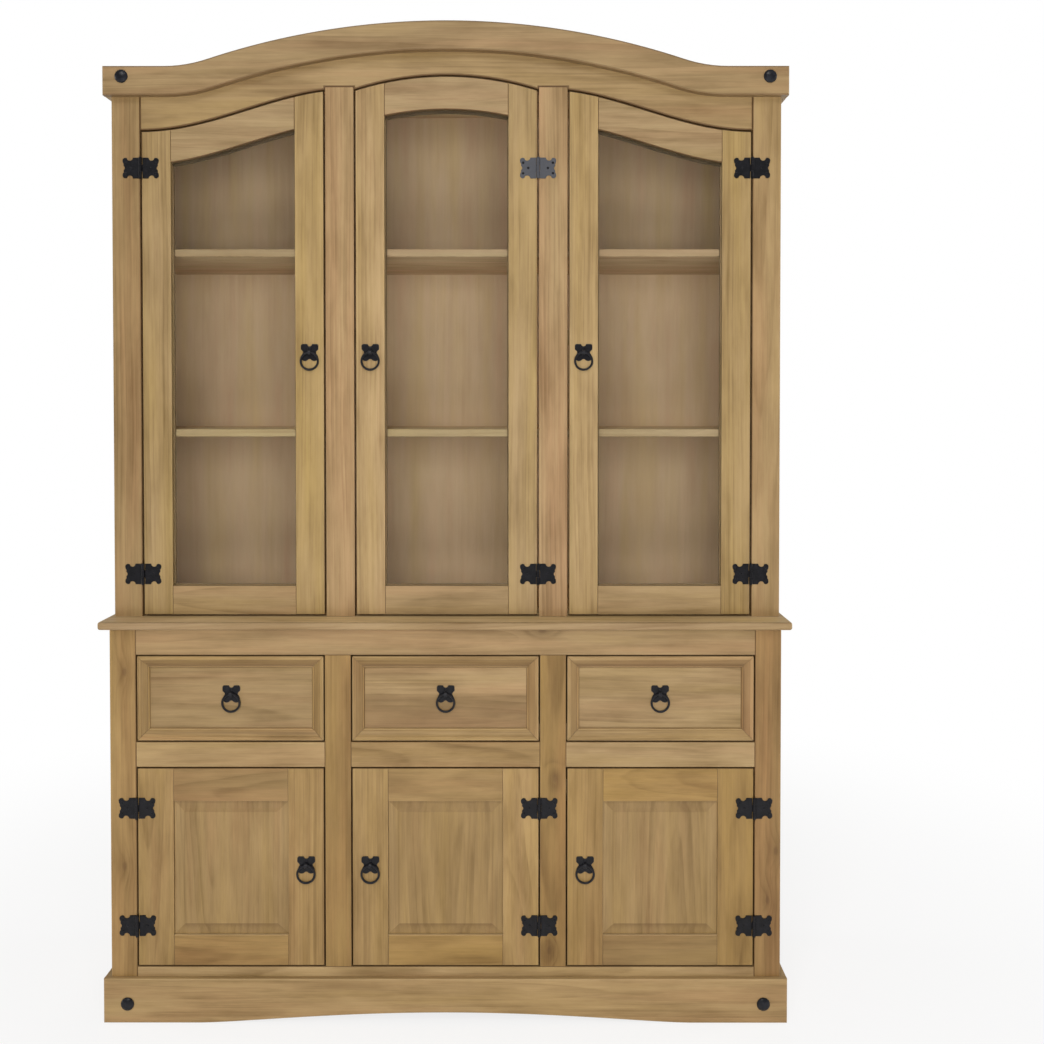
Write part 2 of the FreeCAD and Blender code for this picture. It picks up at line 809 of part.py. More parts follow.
def make_buffet_floor():
    inner = buffet_half - side_board
    return [block(-inner, inner, buffet_frame_back, panel_back,
                  buffet_floor_top - side_board, buffet_floor_top)]


def make_buffet_partitions():
    half = side_board / 2
    return pair(block(buffet_pitch / 2 - half, buffet_pitch / 2 + half, buffet_frame_back, panel_back,
                      buffet_floor_top, counter_bottom))


def make_buffet_shelves():
    solids = []
    for bay in bays:
        left, right = bay_walls(bay)
        solids.append(block(left, right, buffet_frame_back + buffet_shelf_setback, panel_back,
                            buffet_shelf_height - side_board, buffet_shelf_height))
    return solids


def make_buffet_back():
    return [block(-buffet_half, buffet_half, panel_back, back, plinth_height, counter_bottom)]


def make_plinth():
    """Front board with a long flat arch that runs out softly at its ends, and two returns."""
    def arch(x):
        return plinth_arch_rise * max(0, 1 - (x / plinth_arch_reach) ** 2) ** plinth_arch_power

    board = block(-plinth_half, plinth_half, plinth_face, buffet_face, 0, plinth_height)
    under = board_between(-plinth_arch_reach, plinth_arch_reach, -cut_overrun, arch,
                          plinth_face - cut_overrun, buffet_face + cut_overrun)
    board = cut(board, [under])
    top_front = [edge for edge in front_edges(board) if edge.BoundBox.ZMin > plinth_height / 2]
    board = board.makeChamfer(plinth_chamfer, top_front)
    side = block(buffet_half, plinth_half, buffet_face, panel_back, 0, plinth_height)
    return [board] + pair(side)


# Hutch

def make_hutch_posts():
    post = block(hutch_post_inner, hutch_half, hutch_face, hutch_frame_back, buffet_height, hutch_top)
    return [cut(piece, frame_screw_bores("glazed")) for piece in pair(post)]


def make_hutch_mullions():
    inner = hutch_bay / 2
    upright = block(inner, inner + hutch_mullion_width, hutch_face, hutch_frame_back,
                    buffet_height, arch_shoulder + mullion_seat)
    return [cut(piece, frame_screw_bores("glazed")) for piece in pair(upright)]


def make_hutch_sides():
    return pair(block(hutch_half - side_board, hutch_half, hutch_frame_back, panel_back,
                      buffet_height, hutch_top))


def hutch_level(top, thickness):
    """A board that spans the hutch between its sides, with its upper face at top."""
    inner = hutch_half - side_board
    return block(-inner, inner, hutch_frame_back, panel_back, top - thickness, top)


def make_hutch_shelves():
    return [hutch_level(buffet_height + height, hutch_shelf_thickness)
            for height in (lower_shelf_height, upper_shelf_height)]


def make_hutch_back():
    return [block(-hutch_half, hutch_half, panel_back, back, buffet_height, hutch_top)]


def make_catches():
    """A stop block behind the frame at the free edge of each door."""
    solids = []
    for tier in ("glazed", "framed"):
        glazed = tier == "glazed"
        pitch, width = (hutch_pitch, hutch_bay) if glazed else (buffet_pitch, buffet_bay)
        y0 = hutch_frame_back if glazed else buffet_frame_back
        z = buffet_height + glazed_catch_height if glazed else door_opening_top - framed_catch_drop
        for bay, index in bays.items():
            way = hinge_sides[bay]
            edge = index * pitch - way * width / 2
            solids.append(block(edge - way * catch_seat, edge + way * catch_reach, y0, y0 + catch_depth,
                                z, z + catch_height))
    return solids


# Nodes

def export_doors():
    for bay in bays:
        glazed_pull = (free_stile_x("glazed", bay), glazed_door_bottom + glazed_pull_height, hutch_face)
        glazed = "glazed_door_" + bay
        export(glazed + "_frame", glazed_door_frame(bay))
        export(glazed + "_glass", glazed_door_glass(bay))
        export(glazed + "_ironwork", door_ironwork("glazed", bay) + [pull_plate(*glazed_pull)])
        export(glazed + "_ring", [pull_ring(*glazed_pull)])

        framed_bottom = door_opening_bottom + framed_door_gap
        framed_pull = (free_stile_x("framed", bay), framed_bottom + framed_pull_height, buffet_face)
        framed = "buffet_door_" + bay
        export(framed + "_frame", framed_door_frame(bay))
        export(framed + "_panel", framed_door_panel(bay))
        export(framed + "_ironwork", door_ironwork("framed", bay) + [pull_plate(*framed_pull)])
        export(framed + "_ring", [pull_ring(*framed_pull)])


def export_drawers():
    for bay in bays:
        drawer = "drawer_" + bay
        middle = (drawer_opening_bottom + drawer_opening_top) / 2
        pull = (bays[bay] * buffet_pitch, middle + drawer_pull_rise, buffet_face + drawer_field_setback)
        export(drawer + "_front", drawer_front(bay))
        export(drawer + "_box", drawer_box(bay))
        export(drawer + "_pull_plate", [pull_plate(*pull)])
        export(drawer + "_pull_ring", [pull_ring(*pull)])


def export_case():
    export("crown", make_crown())
    export("hutch_arch_rail", make_arch_rail())
    export("hutch_posts", make_hutch_posts())
    export("hutch_mullions", make_hutch_mullions())
    export("hutch_sides", make_hutch_sides())
    export("hutch_top_board", [hutch_level(hutch_top, side_board)])
    export("hutch_floor_board", [hutch_level(buffet_height + hutch_floor_thickness, hutch_floor_thickness)])
    export("hutch_shelves", make_hutch_shelves())
    export("hutch_back_panel", make_hutch_back())
    export("buffet_counter_top", make_counter())
    export("buffet_posts", make_buffet_posts())
    export("buffet_mullions", make_buffet_mullions())
    export("buffet_front_rails", make_buffet_rails())
    export("buffet_sides", make_buffet_sides())
    export("buffet_back_panel", make_buffet_back())
    export("buffet_floor_board", make_buffet_floor())
    export("buffet_shelves", make_buffet_shelves())
    export("buffet_partitions", make_buffet_partitions())
    export("drawer_runners", make_runners())
    export("plinth", make_plinth())
    export("iron_studs", make_studs())
    export("frame_hinge_ironwork", frame_ironwork())
    export("hinge_pins", [hinge_pin(x, z, face) for tier, bay, x, z, face in all_hinges()])
    export("door_catches", make_catches())


os.makedirs("parts", exist_ok=True)
export_case()
export_doors()
export_drawers()
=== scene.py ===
import json
import math
import random

import bmesh
import bpy
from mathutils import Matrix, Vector


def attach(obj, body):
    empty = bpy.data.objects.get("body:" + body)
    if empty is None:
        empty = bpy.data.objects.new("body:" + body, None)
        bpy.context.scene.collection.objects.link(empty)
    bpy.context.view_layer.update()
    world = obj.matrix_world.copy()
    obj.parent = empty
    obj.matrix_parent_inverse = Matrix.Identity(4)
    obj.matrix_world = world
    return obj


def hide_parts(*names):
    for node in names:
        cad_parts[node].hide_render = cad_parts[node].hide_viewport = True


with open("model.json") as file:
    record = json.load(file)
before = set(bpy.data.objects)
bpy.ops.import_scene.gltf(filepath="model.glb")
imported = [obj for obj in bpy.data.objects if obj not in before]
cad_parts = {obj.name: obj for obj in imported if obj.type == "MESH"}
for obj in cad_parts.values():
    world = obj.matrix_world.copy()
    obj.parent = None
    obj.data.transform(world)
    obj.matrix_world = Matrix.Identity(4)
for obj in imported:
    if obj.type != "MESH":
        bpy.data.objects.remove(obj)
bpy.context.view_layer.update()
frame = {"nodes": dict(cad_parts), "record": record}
MM = 0.001

# Sizes in millimetres, the same as in the solids
COUNTER_HALF, FRONT, BACK, PANEL_BACK = 675, -215, 215, 209
BUFFET_REAR, HUTCH_REAR = -175, -125
BUFFET_HALF, BUFFET_FACE, BUFFET_POST_INNER = 657, -195, 606
BUFFET_BAY, BUFFET_PITCH, BUFFET_MULLION = 370, 421, 51
HUTCH_HALF, HUTCH_FACE, HUTCH_POST_INNER = 663, -145, 607
HUTCH_BAY, HUTCH_PITCH, HUTCH_MULLION = 1100 / 3, 1271 / 3, 57
SIDE_BOARD, DOOR_THICK = 15, 18
COUNTER_TOP, COUNTER_BOTTOM, HUTCH_TOP = 788, 773, 1876
RAIL_FOOT, DOOR_LOW, DOOR_HIGH, DRAWER_LOW, DRAWER_HIGH = 66, 106, 500.5, 550, 721
PLINTH_TOP, PLINTH_FACE, PLINTH_HALF = 87, -207, 669
PLINTH_ARCH_RISE, PLINTH_ARCH_REACH, PLINTH_ARCH_POWER = 20, 475, 1.4
ARCH_SPRING, ARCH_SHOULDER, ARCH_APEX = 1754, 1834, 1863
CROWN_APEX, CROWN_END, CROWN_BOARD, CROWN_FACE = 1965, 1876, 57, -163
CROWN_FLARE, CROWN_REACH = 275, 555
BAYS = {"left": -1, "middle": 0, "right": 1}
HINGE_SIDE = {"left": -1, "middle": 1, "right": 1}
DOOR_BOTTOM, GLAZED_GAP, FRAMED_GAP = 792, 3.3, 2.5
GLAZED_STILE, GLAZED_BOTTOM_RAIL, GLAZED_TOP_RAIL = 57, 57, 64
FRAMED_STILE, FRAMED_TOP_RAIL, FRAMED_BOTTOM_RAIL = 70, 65, 60.5
GLASS_PLANE, BEAD_PLANE = -135, -132
HINGE_LEVELS = {"glazed": (873, 1679), "framed": (187.5, 419.5)}
PULL_LEVELS = {"glazed": 1314, "framed": 307.5, "drawer": 642.5}
PULL_OUT, KNUCKLE_OUT = 4.9, 3.7
DRAWER_FIELD, MULLION_SEAT = BUFFET_FACE + 9, ARCH_SHOULDER + 5
BOX_HALF, BOX_SIDE, BOX_LOW, BOX_TOP, BOX_BACK = 181, 12, 556, 686, 185
HUTCH_SHELVES = ((1146.5, 1161.5), (1506.5, 1521.5))
CROWN_STUD_INSET, CROWN_STUD_DROP, PLINTH_STUD_INSET, PLINTH_STUD_HEIGHT = 38, 21, 47, 38
BAY_WALLS = {"left": (-642, -218), "middle": (-203, 203), "right": (218, 642)}
TIERS = {"glazed": (HUTCH_PITCH, HUTCH_BAY, GLAZED_GAP, GLAZED_STILE),
        "framed": (BUFFET_PITCH, BUFFET_BAY, FRAMED_GAP, FRAMED_STILE)}


# Shader graphs

class Graph:
    """Short forms for building one material's nodes. A value may be a number, a colour or a socket."""

    def __init__(self, name):
        self.material = bpy.data.materials.new(name)
        self.material.use_nodes = True
        self.tree = self.material.node_tree
        self.tree.nodes.clear()
        self.output = self.tree.nodes.new("ShaderNodeOutputMaterial")

    def put(self, socket, value):
        if isinstance(value, bpy.types.NodeSocket):
            self.tree.links.new(value, socket)
        elif value is not None:
            socket.default_value = value

    def node(self, kind, inputs=(), **settings):
        made = self.tree.nodes.new("ShaderNode" + kind)
        for key, value in settings.items():
            setattr(made, key, value)
        for key, value in dict(inputs).items():
            self.put(made.inputs[key], value)
        return made

    def math(self, operation, a, b=None, c=None):
        made = self.node("Math", operation=operation)
        for socket, value in zip(made.inputs, (a, b, c)):
            self.put(socket, value)
        return made.outputs[0]

    def add(self, a, b):
        return self.math("ADD", a, b)

    def minus(self, a, b):
        return self.math("SUBTRACT", a, b)

    def times(self, a, b, plus=None):
        return self.math("MULTIPLY" if plus is None else "MULTIPLY_ADD", a, b, plus)

    def vector(self, operation, a, b=None):
        made = self.node("VectorMath", operation=operation)
        self.put(made.inputs[0], a)
        if b is not None:
            self.put(made.inputs["Scale"] if operation == "SCALE" else made.inputs[1], b)
        return made.outputs["Value" if operation == "LENGTH" else "Vector"]

    def attribute(self, name, output="Vector"):
        return self.node("Attribute", attribute_name=name).outputs[output]

    def split(self, vector):
        return self.node("SeparateXYZ", {"Vector": vector}).outputs

    def join(self, x, y, z):
        return self.node("CombineXYZ", {"X": x, "Y": y, "Z": z}).outputs[0]

    def noise(self, vector, stretch, detail=2.0, roughness=0.5):
        stretched = self.vector("MULTIPLY", vector, stretch)
        made = self.node("TexNoise", {"Vector": stretched, "Scale": 1.0, "Detail": detail,
                "Roughness": roughness})
        return made.outputs["Fac"]

    def ranged(self, value, low, high, to_low=0.0, to_high=1.0, smooth=True):
        made = self.node("MapRange", {"Value": value, "From Min": low, "From Max": high,
                "To Min": to_low, "To Max": to_high},
                interpolation_type="SMOOTHSTEP" if smooth else "LINEAR")
        return made.outputs[0]

    def mix(self, share, a, b, blend="MIX"):
        made = self.node("Mix", data_type="RGBA", blend_type=blend)
        for socket, value in zip((made.inputs[0], made.inputs[6], made.inputs[7]), (share, a, b)):
            self.put(socket, value)
        return made.outputs[2]

    def finish(self, shader):
        self.tree.links.new(shader, self.output.inputs["Surface"])
        return self.material


def pine(name, pale, deep, ring=0.0092, contrast=1.0, roughness=0.44, relief=0.3, cloud=0.38):
    """Waxed softwood. Each board's mesh carries its own place in the log, so growth rings, fibres and
    knots run through it in three dimensions and show as end grain where it is sawn across."""
    g = Graph(name)
    plank, seed, tone = g.split(g.attribute("lay"))
    index = g.math("FLOOR", plank)
    own = g.math("MINIMUM", g.math("ABSOLUTE", index), 1.0)
    chance = g.node("TexWhiteNoise", {"Vector": g.join(index, g.math("ROUND", seed), 0.0)})
    moved = g.vector("MULTIPLY", chance.outputs["Color"], (0.9, 0.12, 0.05))
    place = g.vector("ADD", g.attribute("grain"), g.vector("SCALE", moved, own))
    along, across, deep_in = g.split(place)

    knots, cores = None, None
    for knot in ("knot_a", "knot_b"):
        ku, kv, kw = g.split(g.attribute(knot))
        far = g.vector("LENGTH", g.join(g.times(ku, 0.5), kv, g.times(kw, 0.3)))
        near = g.math("EXPONENT", g.times(g.math("POWER", g.math("DIVIDE", far, 0.017), 2.0), -1.0))
        rough_far = g.add(far, g.times(g.noise(place, (60, 160, 160)), 0.003))
        core = g.ranged(rough_far, 0.0075, 0.0035)
        knots = near if knots is None else g.add(knots, near)
        cores = core if cores is None else g.math("MAXIMUM", cores, core)

    shade, gold, heart = g.split(g.attribute("look"))
    radius = g.vector("LENGTH", g.join(0.0, across, deep_in))
    wander = g.minus(g.noise(place, (1.6, 6, 6)), 0.5)
    ripple = g.minus(g.noise(place, (7, 45, 45)), 0.5)
    radius = g.add(radius, g.times(wander, 0.022))
    radius = g.add(radius, g.times(ripple, 0.0028))
    radius = g.add(radius, g.times(knots, 0.014))
    ring_line = g.join(g.times(along, 0.15), radius, 0.0)
    uneven = g.noise(ring_line, (1, 90, 1), 1.0)
    phase = g.add(g.math("DIVIDE", radius, ring), g.times(uneven, 1.6))
    part = g.math("FRACT", phase)
    late = g.times(g.math("POWER", part, 2.2), g.ranged(part, 1.0, 0.86))
    bands = g.ranged(g.noise(ring_line, (1, 55, 1), 3.0, 0.6), 0.34, 0.68)

    fibre = g.noise(place, (9, 620, 620), 2.0, 0.6)
    streak = g.ranged(g.noise(place, (5, 150, 150), 3.0, 0.62), 0.34, 0.7)
    blotch = g.ranged(g.noise(place, (5.5, 22, 22), 4.0, 0.6), 0.3, 0.72)

    fade = g.ranged(g.noise(place, (4.5, 24, 24), 2.0), 0.36, 0.62, 0.25, 1.0)
    share = g.times(g.times(late, fade), 0.34 * contrast)
    share = g.times(g.times(bands, fade), 0.26 * contrast, share)
    share = g.times(streak, 0.16 * contrast, share)
    share = g.times(g.minus(fibre, 0.5), 0.36, share)
    share = g.times(blotch, cloud, share)
    share = g.add(share, g.times(knots, 0.35))
    colour = g.mix(g.math("MINIMUM", g.math("MAXIMUM", share, 0.0), 1.0), pale, deep)

    own_tone = g.times(g.minus(chance.outputs["Value"], 0.5), own)
    drift = g.minus(g.noise(place, (2.2, 26, 26), 2.0), 0.5)
    whole_tone = g.add(tone, g.times(own_tone, 0.9, g.times(drift, 2.6)))
    colour = g.mix(g.ranged(whole_tone, 0.0, 1.6, smooth=False), colour, (1.03, 0.86, 0.88, 1), "MULTIPLY")
    colour = g.mix(g.ranged(whole_tone, 0.0, -1.6, smooth=False), colour, (0.98, 0.97, 0.68, 1), "MULTIPLY")
    colour = g.mix(g.times(cores, 0.38), colour, (0.10, 0.048, 0.02, 1))
    inner = g.ranged(g.minus(radius, heart), 0.007, -0.009)
    colour = g.mix(g.times(inner, g.math("GREATER_THAN", heart, 0.0)), colour, (0.72, 0.68, 0.62, 1),
            "MULTIPLY")
    tint = g.join(g.times(gold, 0.045, 1.0), g.times(gold, -0.02, 1.0),
            g.times(gold, -0.2, 1.0))
    colour = g.vector("SCALE", g.vector("MULTIPLY", colour, tint), shade)
    joint = g.math("ABSOLUTE", g.minus(g.math("FRACT", plank), 0.5))
    colour = g.mix(g.times(g.ranged(joint, 0.492, 0.499), 0.35), colour, (0.12, 0.068, 0.03, 1))
    # Each face's value paints colour: above zero lighter, for wear and a painted highlight on rounded edges
    # and faces turned to the light; below zero darker, for dark joints and painted shade in gaps, under edges
    # and on faces turned from the light.
    worn = g.attribute("worn", "Fac")
    colour = g.mix(g.times(g.math("MAXIMUM", worn, 0.0), 0.3), colour, (0.55, 0.4, 0.22, 1))
    joint_and_shade_paint = g.math("MINIMUM", g.times(worn, -1.0), 1.0)
    colour = g.mix(g.math("MAXIMUM", joint_and_shade_paint, 0.0), colour, (0.11, 0.056, 0.02, 1))

    shine = g.times(fibre, 0.14, roughness - 0.07)
    shine = g.times(blotch, 0.05, shine)
    height = g.add(g.times(late, -0.5), g.times(fibre, 0.6))
    bump = g.node("Bump", {"Strength": relief, "Distance": 0.0004, "Height": height})
    surface = g.node("BsdfPrincipled", {"Base Color": colour, "Roughness": shine,
            "Specular IOR Level": 0.42, "Normal": bump.outputs[0]})
    return g.finish(surface.outputs[0])


def iron(name, colour, roughness):
    """Black painted iron with shallow hammer marks. A face's value paints it a lighter bluish grey: a little
    for paint rubbed on the high places, more for a painted sheen standing in for a reflection.
    """
    g = Graph(name)
    place = g.node("TexCoord").outputs["Object"]
    dents = g.node("TexVoronoi", {"Vector": place, "Scale": 260.0, "Smoothness": 0.6,
            "Randomness": 0.9}, feature="SMOOTH_F1").outputs["Distance"]
    grit = g.noise(place, (1500, 1500, 1500), 3.0)
    cloud = g.noise(place, (90, 90, 90), 3.0)
    paint = g.mix(g.ranged(cloud, 0.35, 0.7), colour, [c * 1.9 for c in colour[:3]] + [1])
    paint = g.mix(g.times(g.attribute("worn", "Fac"), 0.5), paint, (0.075, 0.078, 0.09, 1))
    height = g.times(grit, 0.12, dents)
    bump = g.node("Bump", {"Strength": 0.55, "Distance": 0.0007, "Height": height})
    shine = g.times(grit, 0.18, roughness - 0.09)
    surface = g.node("BsdfPrincipled", {"Base Color": paint, "Roughness": shine, "Metallic": 0.15,
            "Specular IOR Level": 0.35, "Normal": bump.outputs[0]})
    return g.finish(surface.outputs[0])


def clear_glass():
    """Thin window glass: what is behind shows through, and the surface mirrors more at a slant."""
    g = Graph("clear_glass")
    place = g.node("TexCoord").outputs["Object"]
    wave = g.noise(place, (9, 9, 9), 1.0)
    bump = g.node("Bump", {"Strength": 0.04, "Distance": 0.002, "Height": wave})
    through = g.node("BsdfTransparent", {"Color": (0.96, 0.975, 0.965, 1)})
    mirror = g.node("BsdfGlossy", {"Color": (0.9, 0.92, 0.92, 1), "Roughness": 0.03,
            "Normal": bump.outputs[0]})
    slant = g.node("LayerWeight", {"Blend": 0.5}).outputs["Facing"]
    share = g.times(g.math("POWER", slant, 5.0), 0.97, 0.016)
    both = g.node("MixShader", {0: share, 1: through.outputs[0], 2: mirror.outputs[0]})
    return g.finish(both.outputs[0])


def studio_floor():
    """Pale floor that turns into the backdrop's plain white away from the object."""
    g = Graph("studio_floor")
    place = g.node("TexCoord").outputs["Object"]
    far = g.ranged(g.vector("LENGTH", place), 0.75, 2.3)
    mottle = g.noise(place, (3, 3, 3), 2.0)
    colour = g.mix(mottle, (0.92, 0.92, 0.925, 1), (0.95, 0.95, 0.95, 1))
    near = g.node("BsdfPrincipled", {"Base Color": colour, "Roughness": 0.7})
    white = g.node("Emission", {"Color": (1.0, 1.0, 1.0, 1), "Strength": BACKDROP})
    glow = g.times(far, 0.22, 0.78)
    seen = g.times(glow, g.node("LightPath").outputs["Is Camera Ray"])
    both = g.node("MixShader", {0: seen, 1: near.outputs[0], 2: white.outputs[0]})
    return g.finish(both.outputs[0])


BACKDROP, AMBIENT = 1.0, 0.24
WAXED = pine("waxed_pine", (0.40, 0.276, 0.132, 1), (0.165, 0.098, 0.034, 1))
CALM = pine("calm_pine", (0.385, 0.265, 0.125, 1), (0.16, 0.095, 0.033, 1), contrast=0.95, cloud=0.32)
INSIDE = pine("inside_pine", (0.47, 0.33, 0.165, 1), (0.27, 0.165, 0.07, 1), roughness=0.6)
PLYWOOD = pine("pine_plywood", (0.80, 0.57, 0.36, 1), (0.62, 0.41, 0.25, 1), ring=0.016,
        contrast=0.6, roughness=0.62, relief=0.15)
BEAD = pine("glazing_bead", (0.27, 0.18, 0.09, 1), (0.15, 0.09, 0.04, 1), roughness=0.6)
IRON = iron("black_iron", (0.004, 0.004, 0.0055, 1), 0.4)
BRIGHT_IRON = iron("rubbed_iron", (0.008, 0.0085, 0.0115, 1), 0.32)
GLASS = clear_glass()


# Meshes

class Grain:
    """Where a board was sawn from its log: gives each point its place along, across and into the log.
    cut may name a way of sawing or give the pith's own place across and behind the face, and look is the
    board's shade, how golden it is and how far its darker heart reaches."""

    def __init__(self, rng, along, face, low, high, cut="flat", stave=0, tone=0.0, knots=(),
            look=(1.0,)):
        self.along, self.deep = along, face[1]
        self.across = 3 - along - self.deep
        self.middle = [(a + b) / 2 for a, b in zip(low, high)]
        self.face_at = low[self.deep] if face[0] < 0 else high[self.deep]
        self.sign = -face[0]
        width = high[self.across] - low[self.across]
        if isinstance(cut, tuple):
            self.pith, self.tilt = cut[:2], (0.0, cut[2])
        elif cut == "flat":
            self.pith = rng.uniform(-0.3, 0.3) * width, rng.uniform(18, 50)
            self.tilt = rng.uniform(-0.012, 0.012), rng.choice((-1, 1)) * rng.uniform(0.015, 0.05)
        elif cut == "plain":
            self.pith = rng.uniform(-0.6, 0.6) * width, rng.uniform(60, 120)
            self.tilt = rng.uniform(-0.012, 0.012), rng.choice((-1, 1)) * rng.uniform(0.015, 0.04)
        else:
            self.pith = rng.choice((-1, 1)) * rng.uniform(70, 150), rng.uniform(20, 70)
            self.tilt = rng.uniform(-0.01, 0.01), rng.uniform(-0.012, 0.012)
        self.shift = rng.uniform(-4000, 4000)
        self.seed = rng.randrange(1, 900)
        self.stave, self.tone = stave, tone
        self.look = tuple(look) + (0.0,) * (3 - len(look))
        self.phase = rng.uniform(0.2, 0.8)
        self.knots = [self.local(k) for k in knots]
        while len(self.knots) < 2:
            self.knots.append((9000.0, 9000.0, 9000.0))

    def local(self, point):
        u = point[self.along] - self.middle[self.along]
        v = point[self.across] - self.middle[self.across]
        w = (point[self.deep] - self.face_at) * self.sign
        return u, v, w

    def at(self, point):
        u, v, w = self.local(point)
        grain = (u + self.shift, v - self.pith[0] + self.tilt[0] * u, w + self.pith[1] + self.tilt[1] * u)
        plank = v / self.stave + self.phase if self.stave else 0.5
        marks = [[a - b for a, b in zip((u, v, w), k)] for k in self.knots]
        return ([x * MM for x in grain], (plank, self.seed, self.tone),
                [x * MM for x in marks[0]], [x * MM for x in marks[1]], self.look)


class Shape:
    """Islands that become one mesh, with each corner's place in its board."""

    def __init__(self):
        self.points, self.faces, self.worn, self.marks = [], [], [], []

    def add(self, points, faces, worn, grain=None):
        start = len(self.points)
        self.points.extend(points)
        self.faces.extend([start + i for i in face] for face in faces)
        self.worn.extend(worn)
        if grain:
            self.marks.extend(grain.at(p) for p in points)


def offset_outline(outline, inset):
    """The outline, listed anticlockwise, moved inwards by inset."""
    if not inset:
        return list(outline)
    moved = []
    count = len(outline)
    for i in range(count):
        (ax, ay), (bx, by), (cx, cy) = outline[i - 1], outline[i], outline[(i + 1) % count]
        first, second = Vector((bx - ax, by - ay)), Vector((cx - bx, cy - by))
        first.normalize(), second.normalize()
        n1, n2 = Vector((-first.y, first.x)), Vector((-second.y, second.x))
        middle = n1 + n2
        middle.normalize()
        reach = inset / max(middle.dot(n1), 0.3)
        moved.append((bx + middle.x * reach, by + middle.y * reach))
    return moved


def prism(shape, outline, low, high, place, grain=None, front=0.8, rear=0.6, steps=2, ladder=False,
        seams=None, worn_edge=0.4):
    """Extrudes an outline from low to high, with its front and rear edges rounded. A ladder's outline
    runs along its lower edge and back along its upper one with as many points, and its faces are cut
    into rungs. The sides that face along x (0) or z (1) may be painted darker, for dark joints and
    painted shade in gaps and along edges; the other rounded edges are painted lighter, for wear and a
    painted highlight."""
    rings = []
    for k in range(steps + 1 if front else 1):
        turn = math.pi / 2 * (k / steps if front else 1)
        rings.append((front * (1 - math.sin(turn)), low + front * (1 - math.cos(turn))))
    for k in range(steps + 1 if rear else 1):
        turn = math.pi / 2 * (1 - k / steps if rear else 1)
        rings.append((rear * (1 - math.sin(turn)), high - rear * (1 - math.cos(turn))))
    points, faces, worn = [], [], []
    count = len(outline)
    for inset, depth in rings:
        points.extend(place(p, q, depth) for p, q in offset_outline(outline, inset))
    for r in range(len(rings) - 1):
        for i in range(count):
            j = (i + 1) % count
            faces.append((r * count + i, r * count + j, (r + 1) * count + j, (r + 1) * count + i))
            across = abs(outline[j][0] - outline[i][0]) < abs(outline[j][1] - outline[i][1])
            flat_side = r == (steps if front else 0)
            # Painted shade on the sides given a darkness, and wear with a painted highlight on the other
            # rounded edges.
            worn.append(-(seams or {}).get(0 if across else 1, 0.0 if flat_side else -worn_edge))
    last = (len(rings) - 1) * count
    if ladder:
        for i in range(count // 2 - 1):
            rung = (i, i + 1, count - 2 - i, count - 1 - i)
            faces += [tuple(reversed(rung)), tuple(last + k for k in rung)]
            worn += [0.0, 0.0]
    else:
        faces += [tuple(reversed(range(count))), tuple(last + i for i in range(count))]
        worn += [0.0, 0.0]
    shape.add(points, faces, worn, grain)


def rounded(corners, radius, steps=2):
    """An anticlockwise outline with its sharp corners rounded."""
    made = []
    count = len(corners)
    for i in range(count):
        before, here, after = (Vector(corners[k % count]) for k in (i - 1, i, i + 1))
        a, b = (before - here).normalized(), (after - here).normalized()
        angle = a.angle(b)
        if angle > math.radians(150):
            made.append(tuple(here))
            continue
        cut = min(radius / math.tan(angle / 2), 0.45 * min((before - here).length, (after - here).length))
        own = cut * math.tan(angle / 2)
        centre = here + (a + b).normalized() * (own / math.sin(angle / 2))
        start, end = here + a * cut, here + b * cut
        for k in range(steps + 1):
            t = k / steps
            made.append(tuple(centre + (start - centre).slerp(end - centre, t) * own))
    return made


def joint_and_shade_paint(shape, first, axis, place, amount, reach=1.1):
    """Paints the faces from first on that lie within reach of a plane across an axis darker, as painted
    shade in gaps and to keep painted light off front edges. A negative amount paints them lighter, as
    painted light."""
    for index in range(first, len(shape.faces)):
        if all(abs(shape.points[k][axis] - place) < reach for k in shape.faces[index]):
            shape.worn[index] = -amount


PLACES = {
    1: lambda p, q, t: (p, t, q),
    0: lambda p, q, t: (t, -p, q),
    2: lambda p, q, t: (p, q, t),
}


def board(shape, rng, low, high, along, face, cut="side", edge=0.8, stave=0, tone=None, knots=(), seams=None,
        look=(1.0,), front_stain=0.0):
    """A straight board between two corners. face is (side, axis) of the side that shows. The front edge
    of one that lies flat can be darkened, which keeps the painted light of a lighter look off that edge."""
    tone = rng.uniform(-0.5, 0.5) if tone is None else tone
    grain = Grain(rng, along, face, low, high, cut, stave, tone, knots, look)
    axis = face[1]
    if axis == 1:
        corners = [(low[0], low[2]), (high[0], low[2]), (high[0], high[2]), (low[0], high[2])]
    elif axis == 0:
        corners = [(-high[1], low[2]), (-low[1], low[2]), (-low[1], high[2]), (-high[1], high[2])]
    else:
        corners = [(low[0], low[1]), (high[0], low[1]), (high[0], high[1]), (low[0], high[1])]
    outline = rounded(corners, edge * 1.5) if edge > 3 else corners
    start = len(shape.faces)
    prism(shape, outline, low[axis], high[axis], PLACES[axis], grain, edge, edge, 3 if edge > 1.2 else 2,
          seams=seams)
    if front_stain:
        joint_and_shade_paint(shape, start, 1, low[1], front_stain, edge + 0.1)


BUFFET_FRAME, HUTCH_FRAME = (BUFFET_FACE, BUFFET_REAR), (HUTCH_FACE, HUTCH_REAR)


def face_board(shape, rng, planes, low, high, along, cut="side", edge=0.8, **own):
    """A board of a face frame, between two corners in x and z."""
    board(shape, rng, (low[0], planes[0], low[1]), (high[0], planes[1], high[1]), along, (-1, 1), cut, edge,
          **own)


NODE_BODY = {node: body for body, nodes in frame["record"]["behaviour"]["bodies"].items() for node in nodes}


def both_sides(inner, outer):
    """Each side, with the lowest and highest x of what stands there between two distances."""
    return (-1, -outer, -inner), (1, inner, outer)


def by_bay(bay, left, middle, right):
    return (left, middle, right)[BAYS[bay] + 1]


def recoat(node, material):
    """Gives a solid of the frame its own material."""
    solid = frame["nodes"][node]
    solid.data.materials.clear()
    solid.data.materials.append(material)


